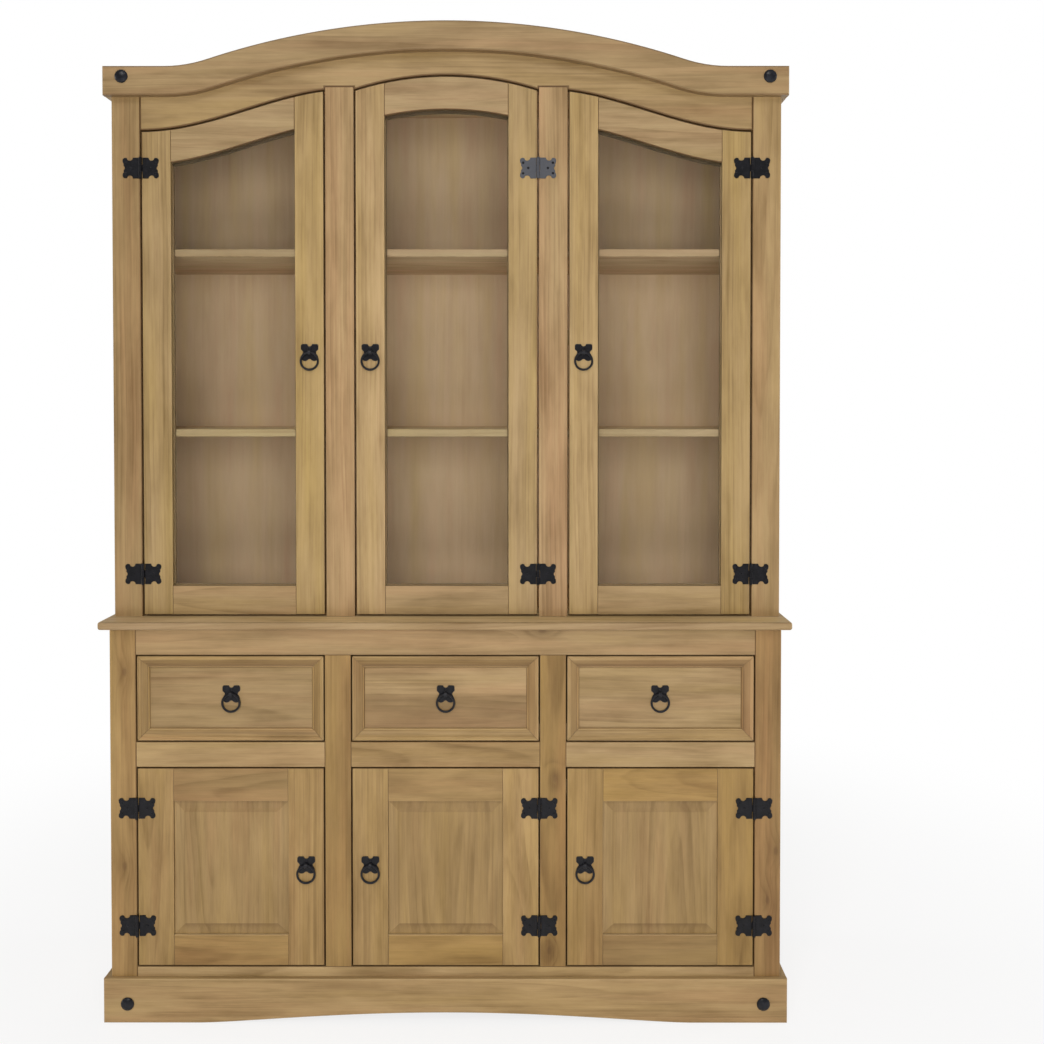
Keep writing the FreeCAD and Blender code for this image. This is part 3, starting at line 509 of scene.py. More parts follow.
def build(name, shape, nodes, material=WAXED, smooth=35):
    """Makes the object, lets it ride on the body of the nodes that it stands for, and hides those."""
    mesh = bpy.data.meshes.new(name)
    mesh.from_pydata([[c * MM for c in p] for p in shape.points], [], shape.faces)
    values = mesh.attributes.new("worn", "FLOAT", "FACE")
    values.data.foreach_set("value", shape.worn)
    if shape.marks:
        for index, key in enumerate(("grain", "lay", "knot_a", "knot_b", "look")):
            values = mesh.attributes.new(key, "FLOAT_VECTOR", "POINT")
            values.data.foreach_set("vector", [c for mark in shape.marks for c in mark[index]])
    tidy = bmesh.new()
    tidy.from_mesh(mesh)
    bmesh.ops.recalc_face_normals(tidy, faces=tidy.faces)
    tidy.to_mesh(mesh)
    tidy.free()
    mesh.polygons.foreach_set("use_smooth", [True] * len(mesh.polygons))
    mesh.set_sharp_from_angle(angle=math.radians(smooth))
    mesh.materials.append(material)
    made = bpy.data.objects.new(name, mesh)
    bpy.context.scene.collection.objects.link(made)
    weigh = made.modifiers.new("even_shading", "WEIGHTED_NORMAL")
    weigh.keep_sharp, weigh.weight = True, 100
    nodes = [nodes] if isinstance(nodes, str) else nodes
    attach(made, NODE_BODY[nodes[0]])
    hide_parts(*nodes)


# Curves of the hutch's top

def span(start, end, count):
    return [start + (end - start) * i / count for i in range(count + 1)]


def crown_height(x, drop=0.0):
    radii = (CROWN_REACH ** 2 + (CROWN_APEX - CROWN_END) ** 2) / (2 * (CROWN_APEX - CROWN_END))
    arc = radii - CROWN_FLARE
    turn = math.asin(CROWN_REACH / radii)
    x = abs(x)
    if x <= (arc - drop) * math.sin(turn):
        return CROWN_APEX - arc + math.sqrt((arc - drop) ** 2 - x ** 2)
    if x < CROWN_REACH:
        return CROWN_END + CROWN_FLARE - math.sqrt((CROWN_FLARE + drop) ** 2 - (x - CROWN_REACH) ** 2)
    return CROWN_END - drop


def bay_arch(bay, x):
    if BAYS[bay]:
        reach = (HUTCH_POST_INNER - abs(x)) / HUTCH_BAY
        share = 1.15
        swing = (1 - math.cos(math.pi * reach / share)) / (1 - math.cos(math.pi / share))
        return ARCH_SPRING + (ARCH_SHOULDER - ARCH_SPRING) * swing
    rise = ARCH_APEX - ARCH_SHOULDER
    radius = ((HUTCH_BAY / 2) ** 2 + rise ** 2) / (2 * rise)
    return ARCH_APEX - radius + math.sqrt(radius ** 2 - x ** 2)


def strip_outline(x0, x1, low, high, count=24):
    """Anticlockwise ladder outline between two heights, each a number or a function of x."""
    def curve(height, xs):
        return [(x, height(x) if callable(height) else height) for x in xs]
    return curve(low, span(x0, x1, count)) + curve(high, span(x1, x0, count))


def curved_board(shape, rng, x0, x1, low, high, y0, y1, along, cut="flat", front=0.8, rear=0.6, tone=None,
        knots=(), grain=None, count=24, seams=None, look=(1.0,)):
    outline = strip_outline(x0, x1, low, high, count)
    zs = [q for p, q in outline]
    tone = rng.uniform(-0.5, 0.5) if tone is None else tone
    if not grain:
        low_corner, high_corner = (x0, y0, min(zs)), (x1, y1, max(zs))
        grain = Grain(rng, along, (-1, 1), low_corner, high_corner, cut, 0, tone, knots, look)
    prism(shape, outline, y0, y1, PLACES[1], grain, front, rear, 3 if front > 1.2 else 2, True, seams)
    return grain


# Case: buffet

def buffet_case():
    rng = random.Random(11)
    shape = Shape()
    face_board(shape, rng, BUFFET_FRAME, (-BUFFET_HALF, RAIL_FOOT), (-BUFFET_POST_INNER, COUNTER_BOTTOM), 2,
          tone=0.1, edge=1.6, knots=((-628, -195, 688), (-630, -195, 305)), look=(0.84, 1.2))
    face_board(shape, rng, BUFFET_FRAME, (BUFFET_POST_INNER, RAIL_FOOT), (BUFFET_HALF, COUNTER_BOTTOM), 2,
          tone=0.6, edge=1.6, knots=((632, -195, 238), (648, -195, 335)), look=(0.7, 1.3))
    # Painted shade along the posts' inner edges, in the gaps beside the doors and drawers.
    for side in (-1, 1):
        joint_and_shade_paint(shape, 0, 0, side * BUFFET_POST_INNER, 0.6, 1.7)
    build("buffet_posts_pine", shape, "buffet_posts")

    shape = Shape()
    for side, tone, knots, look in ((-1, 0.0, (), (0.73, 1.6)),
            (1, 0.2, ((215, -195, 478), (204, -195, 138)), (0.68, 1.8))):
        x0, x1 = sorted((side * BUFFET_BAY / 2, side * (BUFFET_BAY / 2 + BUFFET_MULLION)))
        face_board(shape, rng, BUFFET_FRAME, (x0, DOOR_LOW), (x1, DRAWER_HIGH), 2,
              tone=tone, knots=knots, cut="plain" if side > 0 else "side", seams={0: 0.6, 1: 0.75}, look=look)
    build("buffet_mullions_pine", shape, "buffet_mullions")

    shape = Shape()
    inner = BUFFET_POST_INNER
    face_board(shape, rng, BUFFET_FRAME, (-inner, DRAWER_HIGH), (inner, COUNTER_BOTTOM), 0, "flat",
          1.0, tone=0.25, knots=((190, -195, 768),), seams={0: 0.75, 1: 0.6}, look=(0.84, 0.2))
    face_board(shape, rng, BUFFET_FRAME, (-inner, RAIL_FOOT), (inner, DOOR_LOW), 0, "plain", 1.0, tone=-0.1,
          seams={0: 0.75, 1: 0.6}, look=(1.05,))
    for bay, tone, look in (("left", -0.25, (0.94, 0.3)), ("middle", 0.1, (0.9, 0.7)),
            ("right", 0.0, (1.0,))):
        x = BAYS[bay] * BUFFET_PITCH
        face_board(shape, rng, BUFFET_FRAME, (x - BUFFET_BAY / 2, DOOR_HIGH),
                (x + BUFFET_BAY / 2, DRAWER_LOW), 0, "plain", 1.0, tone=tone,
                seams={0: 0.75, 1: 0.6}, look=look)
    build("buffet_rails_pine", shape, "buffet_front_rails")

    shape = Shape()
    for side, x0, x1 in both_sides(BUFFET_HALF - SIDE_BOARD, BUFFET_HALF):
        board(shape, rng, (x0, BUFFET_REAR, 0), (x1, PANEL_BACK, COUNTER_BOTTOM), 2, (side, 0), "plain",
              stave=78, tone=0.0)
    build("buffet_sides_pine", shape, "buffet_sides", CALM)

    shape = Shape()
    # Painted reflection: the top is painted much lighter as a sheen of reflected light, and its front edge is
    # darkened back towards the wood's own tone.
    board(shape, rng, (-COUNTER_HALF, FRONT, COUNTER_BOTTOM), (COUNTER_HALF, BACK, COUNTER_TOP), 0, (1, 2),
          "plain", edge=4.0, stave=92, tone=0.1, look=(1.75, -0.9), front_stain=0.6)
    build("counter_top_pine", shape, "buffet_counter_top")

    shape = Shape()
    inner = BUFFET_HALF - SIDE_BOARD
    board(shape, rng, (-inner, BUFFET_REAR, 85), (inner, PANEL_BACK, 100), 0, (1, 2), "plain", stave=90)
    build("buffet_floor_pine", shape, "buffet_floor_board", INSIDE)

    shape = Shape()
    for x in (-210.5, 210.5):
        board(shape, rng, (x - 7.5, BUFFET_REAR, 100), (x + 7.5, PANEL_BACK, COUNTER_BOTTOM),
              2, (1, 0), "plain", stave=85)
    build("buffet_partitions_pine", shape, "buffet_partitions", INSIDE)

    shape = Shape()
    for x0, x1 in BAY_WALLS.values():
        board(shape, rng, (x0, -150, 285), (x1, PANEL_BACK, 300), 0, (1, 2), "plain", stave=85)
    build("buffet_shelves_pine", shape, "buffet_shelves", INSIDE)

    shape = Shape()
    board(shape, rng, (-BUFFET_HALF, PANEL_BACK, PLINTH_TOP), (BUFFET_HALF, BACK, COUNTER_BOTTOM), 2, (1, 1),
          "plain", edge=0.5, tone=-0.1, look=(0.79, -0.1))
    build("buffet_back_ply", shape, "buffet_back_panel", PLYWOOD)

    shape = Shape()
    for bay in BAYS:
        x = BAYS[bay] * BUFFET_PITCH
        walls = BAY_WALLS[bay]
        for wall, edge, way in ((walls[0], x - BOX_HALF, 1), (walls[1], x + BOX_HALF, -1)):
            x0, x1 = sorted((wall, edge + way * BOX_SIDE))
            board(shape, rng, (x0, BUFFET_REAR, 538), (x1, PANEL_BACK, 556), 1, (1, 2), edge=0.6)
            x0, x1 = sorted((wall, edge - way * 0.5))
            board(shape, rng, (x0, BUFFET_REAR, 556), (x1, PANEL_BACK, 581), 1, (1, 2), edge=0.6)
    build("drawer_runners_pine", shape, "drawer_runners", INSIDE)

    def plinth_arch(x):
        return PLINTH_ARCH_RISE * max(0.0, 1 - (x / PLINTH_ARCH_REACH) ** 2) ** PLINTH_ARCH_POWER

    shape = Shape()
    curved_board(shape, rng, -PLINTH_HALF, PLINTH_HALF, plinth_arch, PLINTH_TOP, PLINTH_FACE, BUFFET_FACE, 0,
            "flat", 2.4, 0.4, 0.15, count=56, look=(0.97, 0.3))
    for side, x0, x1 in both_sides(BUFFET_HALF, PLINTH_HALF):
        board(shape, rng, (x0, BUFFET_FACE, 0), (x1, PANEL_BACK, PLINTH_TOP), 1, (side, 0), "plain",
              edge=0.8, tone=0.1)
    build("plinth_pine", shape, "plinth")


# Case: hutch

def hutch_case():
    rng = random.Random(23)
    wood = (-1, 1)
    shape = Shape()
    face_board(shape, rng, HUTCH_FRAME, (-HUTCH_HALF, COUNTER_TOP), (-HUTCH_POST_INNER, HUTCH_TOP), 2,
          tone=0.2, edge=1.6, look=(0.81, 0.4))
    face_board(shape, rng, HUTCH_FRAME, (HUTCH_POST_INNER, COUNTER_TOP), (HUTCH_HALF, HUTCH_TOP), 2,
          "plain", tone=0.15, edge=1.6, look=(0.94, 0.2))
    # Painted shade along the posts' inner edges, in the gaps beside the glazed doors.
    for side in (-1, 1):
        joint_and_shade_paint(shape, 0, 0, side * HUTCH_POST_INNER, 0.65, 1.7)
    build("hutch_posts_pine", shape, "hutch_posts")

    shape = Shape()
    for side, tone, look in ((-1, 0.5, (1.0,)), (1, 0.6, (0.95,))):
        x0, x1 = sorted((side * HUTCH_BAY / 2, side * (HUTCH_BAY / 2 + HUTCH_MULLION)))
        face_board(shape, rng, HUTCH_FRAME, (x0, COUNTER_TOP), (x1, MULLION_SEAT), 2, tone=tone,
              seams={0: 0.65, 1: 0.75}, look=look)
    build("hutch_mullions_pine", shape, "hutch_mullions")

    shape = Shape()
    for side, x0, x1 in both_sides(HUTCH_HALF - SIDE_BOARD, HUTCH_HALF):
        board(shape, rng, (x0, HUTCH_REAR, COUNTER_TOP), (x1, PANEL_BACK, HUTCH_TOP), 2, (side, 0), "plain",
              stave=82, tone=0.0)
    build("hutch_sides_pine", shape, "hutch_sides", CALM)

    inner = HUTCH_HALF - SIDE_BOARD
    # Painted light: the top board and shelves are painted lighter so their shaded undersides read as lit, and
    # the floor board is painted lighter too; their front edges are darkened back towards the wood's own tone.
    pale = (1.6, -1.2)
    for name, node, levels, look, front_stain in (
            ("hutch_top_pine", "hutch_top_board", ((1861, HUTCH_TOP),), pale, 0.25),
            ("hutch_floor_pine", "hutch_floor_board", ((788, 800),), (1.3,), 0.25),
            ("hutch_shelves_pine", "hutch_shelves", HUTCH_SHELVES, pale, 0.47)):
        shape = Shape()
        for z0, z1 in levels:
            board(shape, rng, (-inner, HUTCH_REAR, z0), (inner, PANEL_BACK, z1), 0, (1, 2), "plain", edge=1.2,
                  stave=84, tone=0.15, look=look, front_stain=front_stain)
        build(name, shape, node, INSIDE)

    shape = Shape()
    board(shape, rng, (-HUTCH_HALF, PANEL_BACK, COUNTER_TOP), (HUTCH_HALF, BACK, HUTCH_TOP), 2, (1, 1),
          "plain", edge=0.5, tone=-0.1, look=(0.79, -0.1))
    build("hutch_back_ply", shape, "hutch_back_panel", PLYWOOD)

    inner, seat = HUTCH_POST_INNER, MULLION_SEAT
    half = HUTCH_BAY / 2
    outer = half + HUTCH_MULLION
    step = 0.02
    lower = [(x, bay_arch("left", x)) for x in span(-inner, -outer, 24)]
    lower += [(-outer + step, seat), (-half - step, seat)]
    lower += [(x, bay_arch("middle", x)) for x in span(-half, half, 24)]
    lower += [(half + step, seat), (outer - step, seat)]
    lower += [(x, bay_arch("right", x)) for x in span(outer, inner, 24)]
    upper = [(x, crown_height(x, 20)) for x, z in reversed(lower)]
    shape = Shape()
    grain = Grain(rng, 0, wood, (-inner, HUTCH_FACE, 1700), (inner, HUTCH_REAR, 1950), "flat", 0, 0.05,
            look=(0.87, 0.2))
    # Painted shade: the arch rail's edges are painted dark, for the shaded gaps around it.
    prism(shape, lower + upper, HUTCH_FACE, HUTCH_REAR, PLACES[1], grain, 3.0, 0.6, ladder=True,
          seams={0: 0.85, 1: 0.85})
    build("arch_rail_pine", shape, "hutch_arch_rail")

    shape = Shape()
    # Painted shade: the crown's upper and lower edges are painted darker.
    curved_board(shape, rng, -COUNTER_HALF, COUNTER_HALF, lambda x: crown_height(x, CROWN_BOARD),
            crown_height, CROWN_FACE, HUTCH_FACE, 0, "flat", 3.0, 0.6, 0.1, count=90, seams={1: 0.5},
            look=(0.86,))
    for side, x0, x1 in both_sides(HUTCH_HALF, COUNTER_HALF):
        board(shape, rng, (x0, HUTCH_FACE, CROWN_END - CROWN_BOARD), (x1, PANEL_BACK, CROWN_END), 1,
              (side, 0), "plain", edge=1.2, tone=0.1)
    build("crown_pine", shape, "crown")


# Doors and drawers

def glazed_door(bay, rng):
    middle = BAYS[bay] * HUTCH_PITCH
    x0, x1 = middle - HUTCH_BAY / 2 + GLAZED_GAP, middle + HUTCH_BAY / 2 - GLAZED_GAP
    in0, in1, low = x0 + GLAZED_STILE, x1 - GLAZED_STILE, DOOR_BOTTOM + GLAZED_BOTTOM_RAIL
    y0, y1 = HUTCH_FACE, HUTCH_FACE + DOOR_THICK

    def top(x):
        return bay_arch(bay, x) - GLAZED_GAP

    def sight(x):
        return top(x) - GLAZED_TOP_RAIL

    shape, rebate = Shape(), 7
    tones = by_bay(bay, (-0.6, -0.8), (-0.1, -0.4), (-0.5, -0.6))
    looks = by_bay(bay, (0.91, 0.99, 0.9, 0.94), (1.06, 0.92, 0.91, 0.87), (1.02, 0.95, 0.92, 0.9))
    for a, b, back_a, back_b, tone, look in ((x0, in0, x0, in0 - rebate, tones[0], looks[0]),
            (in1, x1, in1 + rebate, x1, tones[1], looks[1])):
        grain = curved_board(shape, rng, a, b, DOOR_BOTTOM, top, y0, GLASS_PLANE, 2, "side", 1.0, 0, tone,
                count=12, seams={1: 0.75}, look=(look,))
        curved_board(shape, rng, back_a, back_b, DOOR_BOTTOM, top, GLASS_PLANE, y1, 2, "side", 0, 0.6,
                grain=grain, count=12)
    # Painted shade along the door's outer edges, in the gaps to the frame.
    for edge in (x0, x1):
        joint_and_shade_paint(shape, 0, 0, edge, 0.65)
    # The top rail's edges are painted dark: dark joints at the stiles, and painted shadow in the gap above
    # and at the glass below.
    grain = curved_board(shape, rng, in0, in1, sight, top, y0, GLASS_PLANE, 0, "plain", 1.4, 0, 0.15,
            seams={0: 0.75, 1: 0.75}, look=(looks[2], -0.3))
    curved_board(shape, rng, in0 - rebate, in1 + rebate, lambda x: sight(x) + rebate, top, GLASS_PLANE, y1, 0,
            front=0, grain=grain)
    grain = curved_board(shape, rng, in0, in1, DOOR_BOTTOM, low, y0, GLASS_PLANE, 0, "plain", 1.0, 0, 0.1,
            seams={0: 0.75}, look=(looks[3],))
    curved_board(shape, rng, in0 - rebate, in1 + rebate, DOOR_BOTTOM, low - rebate, GLASS_PLANE, y1, 0,
            front=0, grain=grain)
    body = "glazed_door_" + bay
    build(body + "_pine", shape, body + "_frame")

    shape, reach, show = Shape(), 6.5, 3
    curved_board(shape, rng, in0 - reach, in0 + show, low, sight, BEAD_PLANE, y1, 2, front=0.8, tone=0)
    curved_board(shape, rng, in1 - show, in1 + reach, low, sight, BEAD_PLANE, y1, 2, front=0.8, tone=0)
    curved_board(shape, rng, in0, in1, low - reach, low + show, BEAD_PLANE, y1, 0, front=0.8, tone=0)
    # Painted shadow: the top bead shows 6 mm below the rail and is painted dark.
    curved_board(shape, rng, in0, in1, lambda x: sight(x) - 6, lambda x: sight(x) + reach, BEAD_PLANE, y1, 0,
            front=0.8, tone=0, look=(0.3,))
    build(body + "_bead", shape, body + "_frame", BEAD)
    recoat(body + "_glass", GLASS)


def raised_panel(shape, grain, low, high, field_y, bevel, drop, thick):
    """A panel whose proud field slopes away to a thin tongue on all four sides."""
    x0, z0, x1, z1 = low[0], low[1], high[0], high[1]
    loops = [(0, field_y + drop + thick), (0, field_y + drop), (6.15, field_y + drop)]
    for t in span(1, 0, 7):
        loops.append((6.35 + bevel * (1 - t), field_y + (drop - 2) * (1 - (1 - t) ** 2)))
    points, faces, worn = [], [], []
    for inset, y in loops:
        points += [(x0 + inset, y, z0 + inset), (x1 - inset, y, z0 + inset),
                (x1 - inset, y, z1 - inset), (x0 + inset, y, z1 - inset)]
    for r in range(len(loops) - 1):
        for i in range(4):
            j = (i + 1) % 4
            faces.append((r * 4 + i, r * 4 + j, r * 4 + 4 + j, r * 4 + 4 + i))
            # Painted light and shade on the bevels by the way they face: the bottom one darker towards the
            # field, the top one darker, the sides lighter, and a darker line at the field's edge. The darker
            # top and bottom bevels are partly their end grain.
            near = (r - 3) / 6
            bevel_shade, ring = (-0.05 - 0.35 * near, 0.1, -0.2, 0.25), (-0.44, -0.08, -0.2, -0.1)
            worn.append(bevel_shade[i] if 2 < r < 9 else ring[i] if r == 9 else 0.0)
    faces += [(3, 2, 1, 0), tuple((len(loops) - 1) * 4 + i for i in range(4))]
    shape.add(points, faces, worn + [0.0, 0.0], grain)


def framed_door(bay, rng):
    middle = BAYS[bay] * BUFFET_PITCH
    x0, x1 = middle - BUFFET_BAY / 2 + FRAMED_GAP, middle + BUFFET_BAY / 2 - FRAMED_GAP
    z0, z1 = DOOR_LOW + FRAMED_GAP, DOOR_HIGH - FRAMED_GAP
    in0, in1 = x0 + FRAMED_STILE, x1 - FRAMED_STILE
    low, high = z0 + FRAMED_BOTTOM_RAIL, z1 - FRAMED_TOP_RAIL
    y0, y1, tongue = BUFFET_FACE, BUFFET_FACE + DOOR_THICK, BUFFET_FACE + 8.5
    wood, groove = (-1, 1), 6.5
    tones = by_bay(bay, (-0.1, -0.3, 0.2, 0.15), (-0.2, -0.1, 0.0, -0.1), (0.1, -0.3, -0.3, 0.25))
    looks = by_bay(bay, ((0.84, 1.0), (0.9, 1.0), (0.75, 0.9), (0.77, 1.5), (0.82, 0.7)),
            ((0.87, 0.85), (0.96, 0.8), (0.78, 1.0), (0.8, 1.6), (0.78, 0.85)),
            ((0.81, 1.3), (0.74, 1.6), (0.79, 1.7), (0.66, 1.1), (0.82, 0.7)))
    shape = Shape()
    cuts = by_bay(bay, ("flat", "side"), ("side", "plain"), ("side", "plain"))

    def layered(a, b, c, d, inset_x, inset_z, along, cut, index):
        """A member in three layers, so that its inner edge has a groove for the panel."""
        lo, hi = (a, y0, c), (b, y1, d)
        grain = Grain(rng, along, wood, lo, hi, cut, 0, tones[index], (), looks[index])
        layers = ((y0, tongue, (0, 0), (0, 0), 1.0, 0), (tongue, tongue + 6, inset_x, inset_z, 0, 0),
                (tongue + 6, y1, (0, 0), (0, 0), 0, 0.8))
        for ya, yb, ix, iz, front, rear in layers:
            corners = [(a + ix[0], c + iz[0]), (b - ix[1], c + iz[0]), (b - ix[1], d - iz[1]),
                    (a + ix[0], d - iz[1])]
            prism(shape, corners, ya, yb, PLACES[1], grain, front, rear,
                  seams={0: 0.5} if along == 0 else None)

    layered(x0, in0, z0, z1, (0, groove), (0, 0), 2, cuts[0], 0)
    layered(in1, x1, z0, z1, (groove, 0), (0, 0), 2, cuts[1], 1)
    layered(in0, in1, high, z1, (0, 0), (groove, 0), 0, "plain", 2)
    layered(in0, in1, z0, low, (0, 0), (0, groove), 0, "plain", 3)
    # Painted light on the bottom rail's top edge below the panel, a ledge that lies in shade, and painted
    # shade along the door's outer edges in the gaps to the frame.
    joint_and_shade_paint(shape, 0, 2, low, -1.6)
    for axis, edge in ((0, x0), (0, x1), (2, z0), (2, z1)):
        joint_and_shade_paint(shape, 0, axis, edge, 0.6)
    body = "buffet_door_" + bay
    build(body + "_frame_pine", shape, body + "_frame")

    shape, reach = Shape(), 6
    lo, hi = (in0 - reach, BUFFET_FACE + 2, low - reach), (in1 + reach, tongue + 6, high + reach)
    grain = Grain(rng, 2, wood, lo, hi, "flat", 0, -0.05, (), looks[4])
    raised_panel(shape, grain, (lo[0], lo[2]), (hi[0], hi[2]), BUFFET_FACE + 2, 21.5, 5.5, 7)
    build(body + "_panel_pine", shape, body + "_panel", CALM, smooth=14)


MOULDING = ((0, 0), (0, 7.6), (0.5, 8.6), (1.6, 9.0), (6.2, 9.0), (7.2, 8.5), (7.7, 7.5), (9.4, 7.2),
        (12.5, 6.0), (15.5, 4.2), (17.8, 3.1), (19.2, 2.9), (19.9, 3.6), (21.0, 4.0), (22.2, 3.6),
        (22.9, 2.5), (23.2, 0.6), (24.0, 0))


def drawer(bay, rng):
    middle = BAYS[bay] * BUFFET_PITCH
    x0, x1 = middle - BUFFET_BAY / 2 + 2.5, middle + BUFFET_BAY / 2 - 2.5
    z0, z1, plane = DRAWER_LOW + 2.5, DRAWER_HIGH - 2.5, DRAWER_FIELD
    body = "drawer_" + bay
    shape = Shape()
    tone = by_bay(bay, 0.1, 0.3, 0.0)
    cut = by_bay(bay, "plain", (-35, 25, 0.02), "plain")
    look = by_bay(bay, (0.79, 0.3), (0.93, 0.1, 0.047), (0.88, 0.1))
    face_board(shape, rng, (plane, BUFFET_REAR), (x0 + 0.3, z0 + 0.3), (x1 - 0.3, z1 - 0.3), 0, cut, 0.6,
            tone=tone, look=look)
    corners = [(x0, z0, 1, 1), (x1, z0, -1, 1), (x1, z1, -1, -1), (x0, z1, 1, -1)]
    tones = by_bay(bay, (0.3, -0.1, 0.2, 0.0), (-0.3, 0.0, -0.2, 0.1), (-0.1, 0.9, 0.1, 0.2))
    strip_look = by_bay(bay, (0.83, 0.9), (0.86, 0.8), (0.86, 0.6))
    for index in range(4):
        start, end = corners[index], corners[(index + 1) % 4]
        along = 0 if index % 2 == 0 else 2
        a, b = (start[0], plane - 9, start[1]), (end[0], plane, end[1])
        lo, hi = [min(p, q) for p, q in zip(a, b)], [max(p, q) for p, q in zip(a, b)]
        grain = Grain(rng, along, (-1, 1), lo, hi, "side", 0, tones[index], (), strip_look)
        points = []
        for x, z, wx, wz in (start, end):
            shy = 0.12 * (1 if (x, z) == start[:2] else -1)
            step = (shy * (1 if end[0] > start[0] else -1), 0) if along == 0 else (
                0, shy * (1 if end[1] > start[1] else -1))
            points += [(x + wx * r + step[0], plane - h, z + wz * r + step[1]) for r, h in MOULDING]
        count = len(MOULDING)
        unit = [0, 0]
        unit[along // 2] = math.copysign(1, end[along // 2] - start[along // 2])
        rows = []
        first, last = points[:count], points[count:]
        for offset, row in ((0, first), (0.8, first), (-0.8, last), (0, last)):
            rows += [(x + unit[0] * offset, y, z + unit[1] * offset) for x, y, z in row]
        faces, worn = [], []
        # Painted light and shade on the moulding by the way its profile faces: the outer strip lighter, the
        # slope and quirk darker, the top strip darker still and the bottom strip lighter. The mitre ends are
        # darkened as dark joints.
        moulding_shade = {1: 0.4, 2: 0.4, 5: -0.2, 6: -0.3, 7: -0.2, 8: -0.2, 9: -0.26, 10: -0.5, 11: -0.55,
                15: -0.5, 16: -0.5}
        if index == 2:
            moulding_shade.update({7: -0.32, 8: -0.4, 9: -0.55, 10: -0.72, 11: -0.72, 12: -0.45, 13: -0.3, 14: -0.3})
        if index == 0:
            moulding_shade = {1: 0.5, 2: 0.5, 10: -0.16, 11: -0.1, 12: 0.6, 13: 0.6, 15: -0.3, 16: -0.4}
        for r in range(3):
            for i in range(count):
                j = (i + 1) % count
                faces.append((r * count + i, r * count + j, (r + 1) * count + j, (r + 1) * count + i))
                worn.append(-0.6 if r != 1 else moulding_shade.get(i, 0.0))
        faces += [tuple(reversed(range(count))), tuple(range(3 * count, 4 * count))]
        shape.add(rows, faces, worn + [0.0, 0.0], grain)
    build(body + "_front_pine", shape, body + "_front", smooth=32)

    shape = Shape()
    lo_x, hi_x, y0, y1 = middle - BOX_HALF, middle + BOX_HALF, BUFFET_REAR, BOX_BACK
    in0, in1, in_y = lo_x + BOX_SIDE, hi_x - BOX_SIDE, y1 - BOX_SIDE
    for a, b in ((lo_x, in0), (in1, hi_x)):
        board(shape, rng, (a, y0, BOX_LOW), (b, y1, BOX_TOP), 1, (1, 0), "plain", edge=0.9)
    board(shape, rng, (in0, in_y, BOX_LOW), (in1, y1, BOX_TOP), 0, (1, 1), "plain", edge=0.9)
    build(body + "_box_pine", shape, body + "_box", INSIDE)
    shape = Shape()
    board(shape, rng, (in0, y0, BOX_LOW + 8), (in1, in_y, BOX_LOW + 13), 0, (1, 2), "plain", edge=0.3)
    build(body + "_bottom_ply", shape, body + "_box", PLYWOOD)


# Ironwork

BOX_FACES = [(0, 1, 2, 3), (7, 6, 5, 4), (0, 4, 5, 1), (1, 5, 6, 2), (2, 6, 7, 3), (3, 7, 4, 0)]


def arc(cx, cz, radius, start, end, steps):
    return [(cx + radius * math.cos(math.radians(a)), cz + radius * math.sin(math.radians(a)))
            for a in span(start, end, steps)]


def leaf_outline():
    """One butterfly leaf reaching along +X from the pin, anticlockwise."""
    upper = [(3.8, 20.5), (14.5, 20.5), (15.3, 20.25)]
    upper += arc(21.5, 20.5, 6.0, 185, 318, 9)
    upper += arc(30.3, 14.5, 5.7, 126, 8, 8)
    upper += [(35.4, 11.0), (33.6, 8.4)]
    upper += arc(36.0, 0, 4.6, 118, 180, 5)
    lower = [(x, -z) for x, z in reversed(upper[:-1])]
    return list(reversed(upper + lower))


def plate_outline():
    """Pull plate with two ears, a waist and two lobes, anticlockwise."""
    right = arc(0, 17.0, 4.6, -90, -12, 5)
    right += [(5.6, 17.0)] + arc(13.6, 13.2, 3.8, 90, 0, 4) + arc(14.4, 7.4, 3.0, 0, -70, 3)
    right += arc(16.6, 0.2, 3.9, 118, 236, 6)
    right += arc(9.3, -9.4, 7.5, 38, -112, 9)
    right += arc(0, -17.0, 4.2, 28, 90, 4)
    left = [(-x, z) for x, z in reversed(right[1:-1])]
    return list(reversed(right + left))


def disc(shape, centre, axis, profile, sides):
    """A turned form: profile is (radius, rise) from the rim to the middle, rising along axis."""
    axis = Vector(axis).normalized()
    side = axis.orthogonal().normalized()
    other = axis.cross(side)
    points, faces = [], []
    for radius, rise in profile:
        for k in range(sides):
            a = 2 * math.pi * k / sides
            out = (side * math.cos(a) + other * math.sin(a)) * radius
            points.append(tuple(Vector(centre) + axis * rise + out))
    for r in range(len(profile) - 1):
        for k in range(sides):
            j = (k + 1) % sides
            faces.append((r * sides + k, r * sides + j, (r + 1) * sides + j, (r + 1) * sides + k))
    faces.append(tuple(reversed(range(sides))))
    faces.append(tuple((len(profile) - 1) * sides + k for k in range(sides)))
    shape.add(points, faces, [0.0] * len(faces))


def screw_head(shape, x, z, face):
    """Round head with a small socket pressed into it."""
    head = ((2.5, 0), (2.45, 0.35), (2.0, 0.75), (1.2, 0.98), (0.62, 1.02), (0.5, 0.55))
    disc(shape, (x, face, z), (0, -1, 0), head, 14)


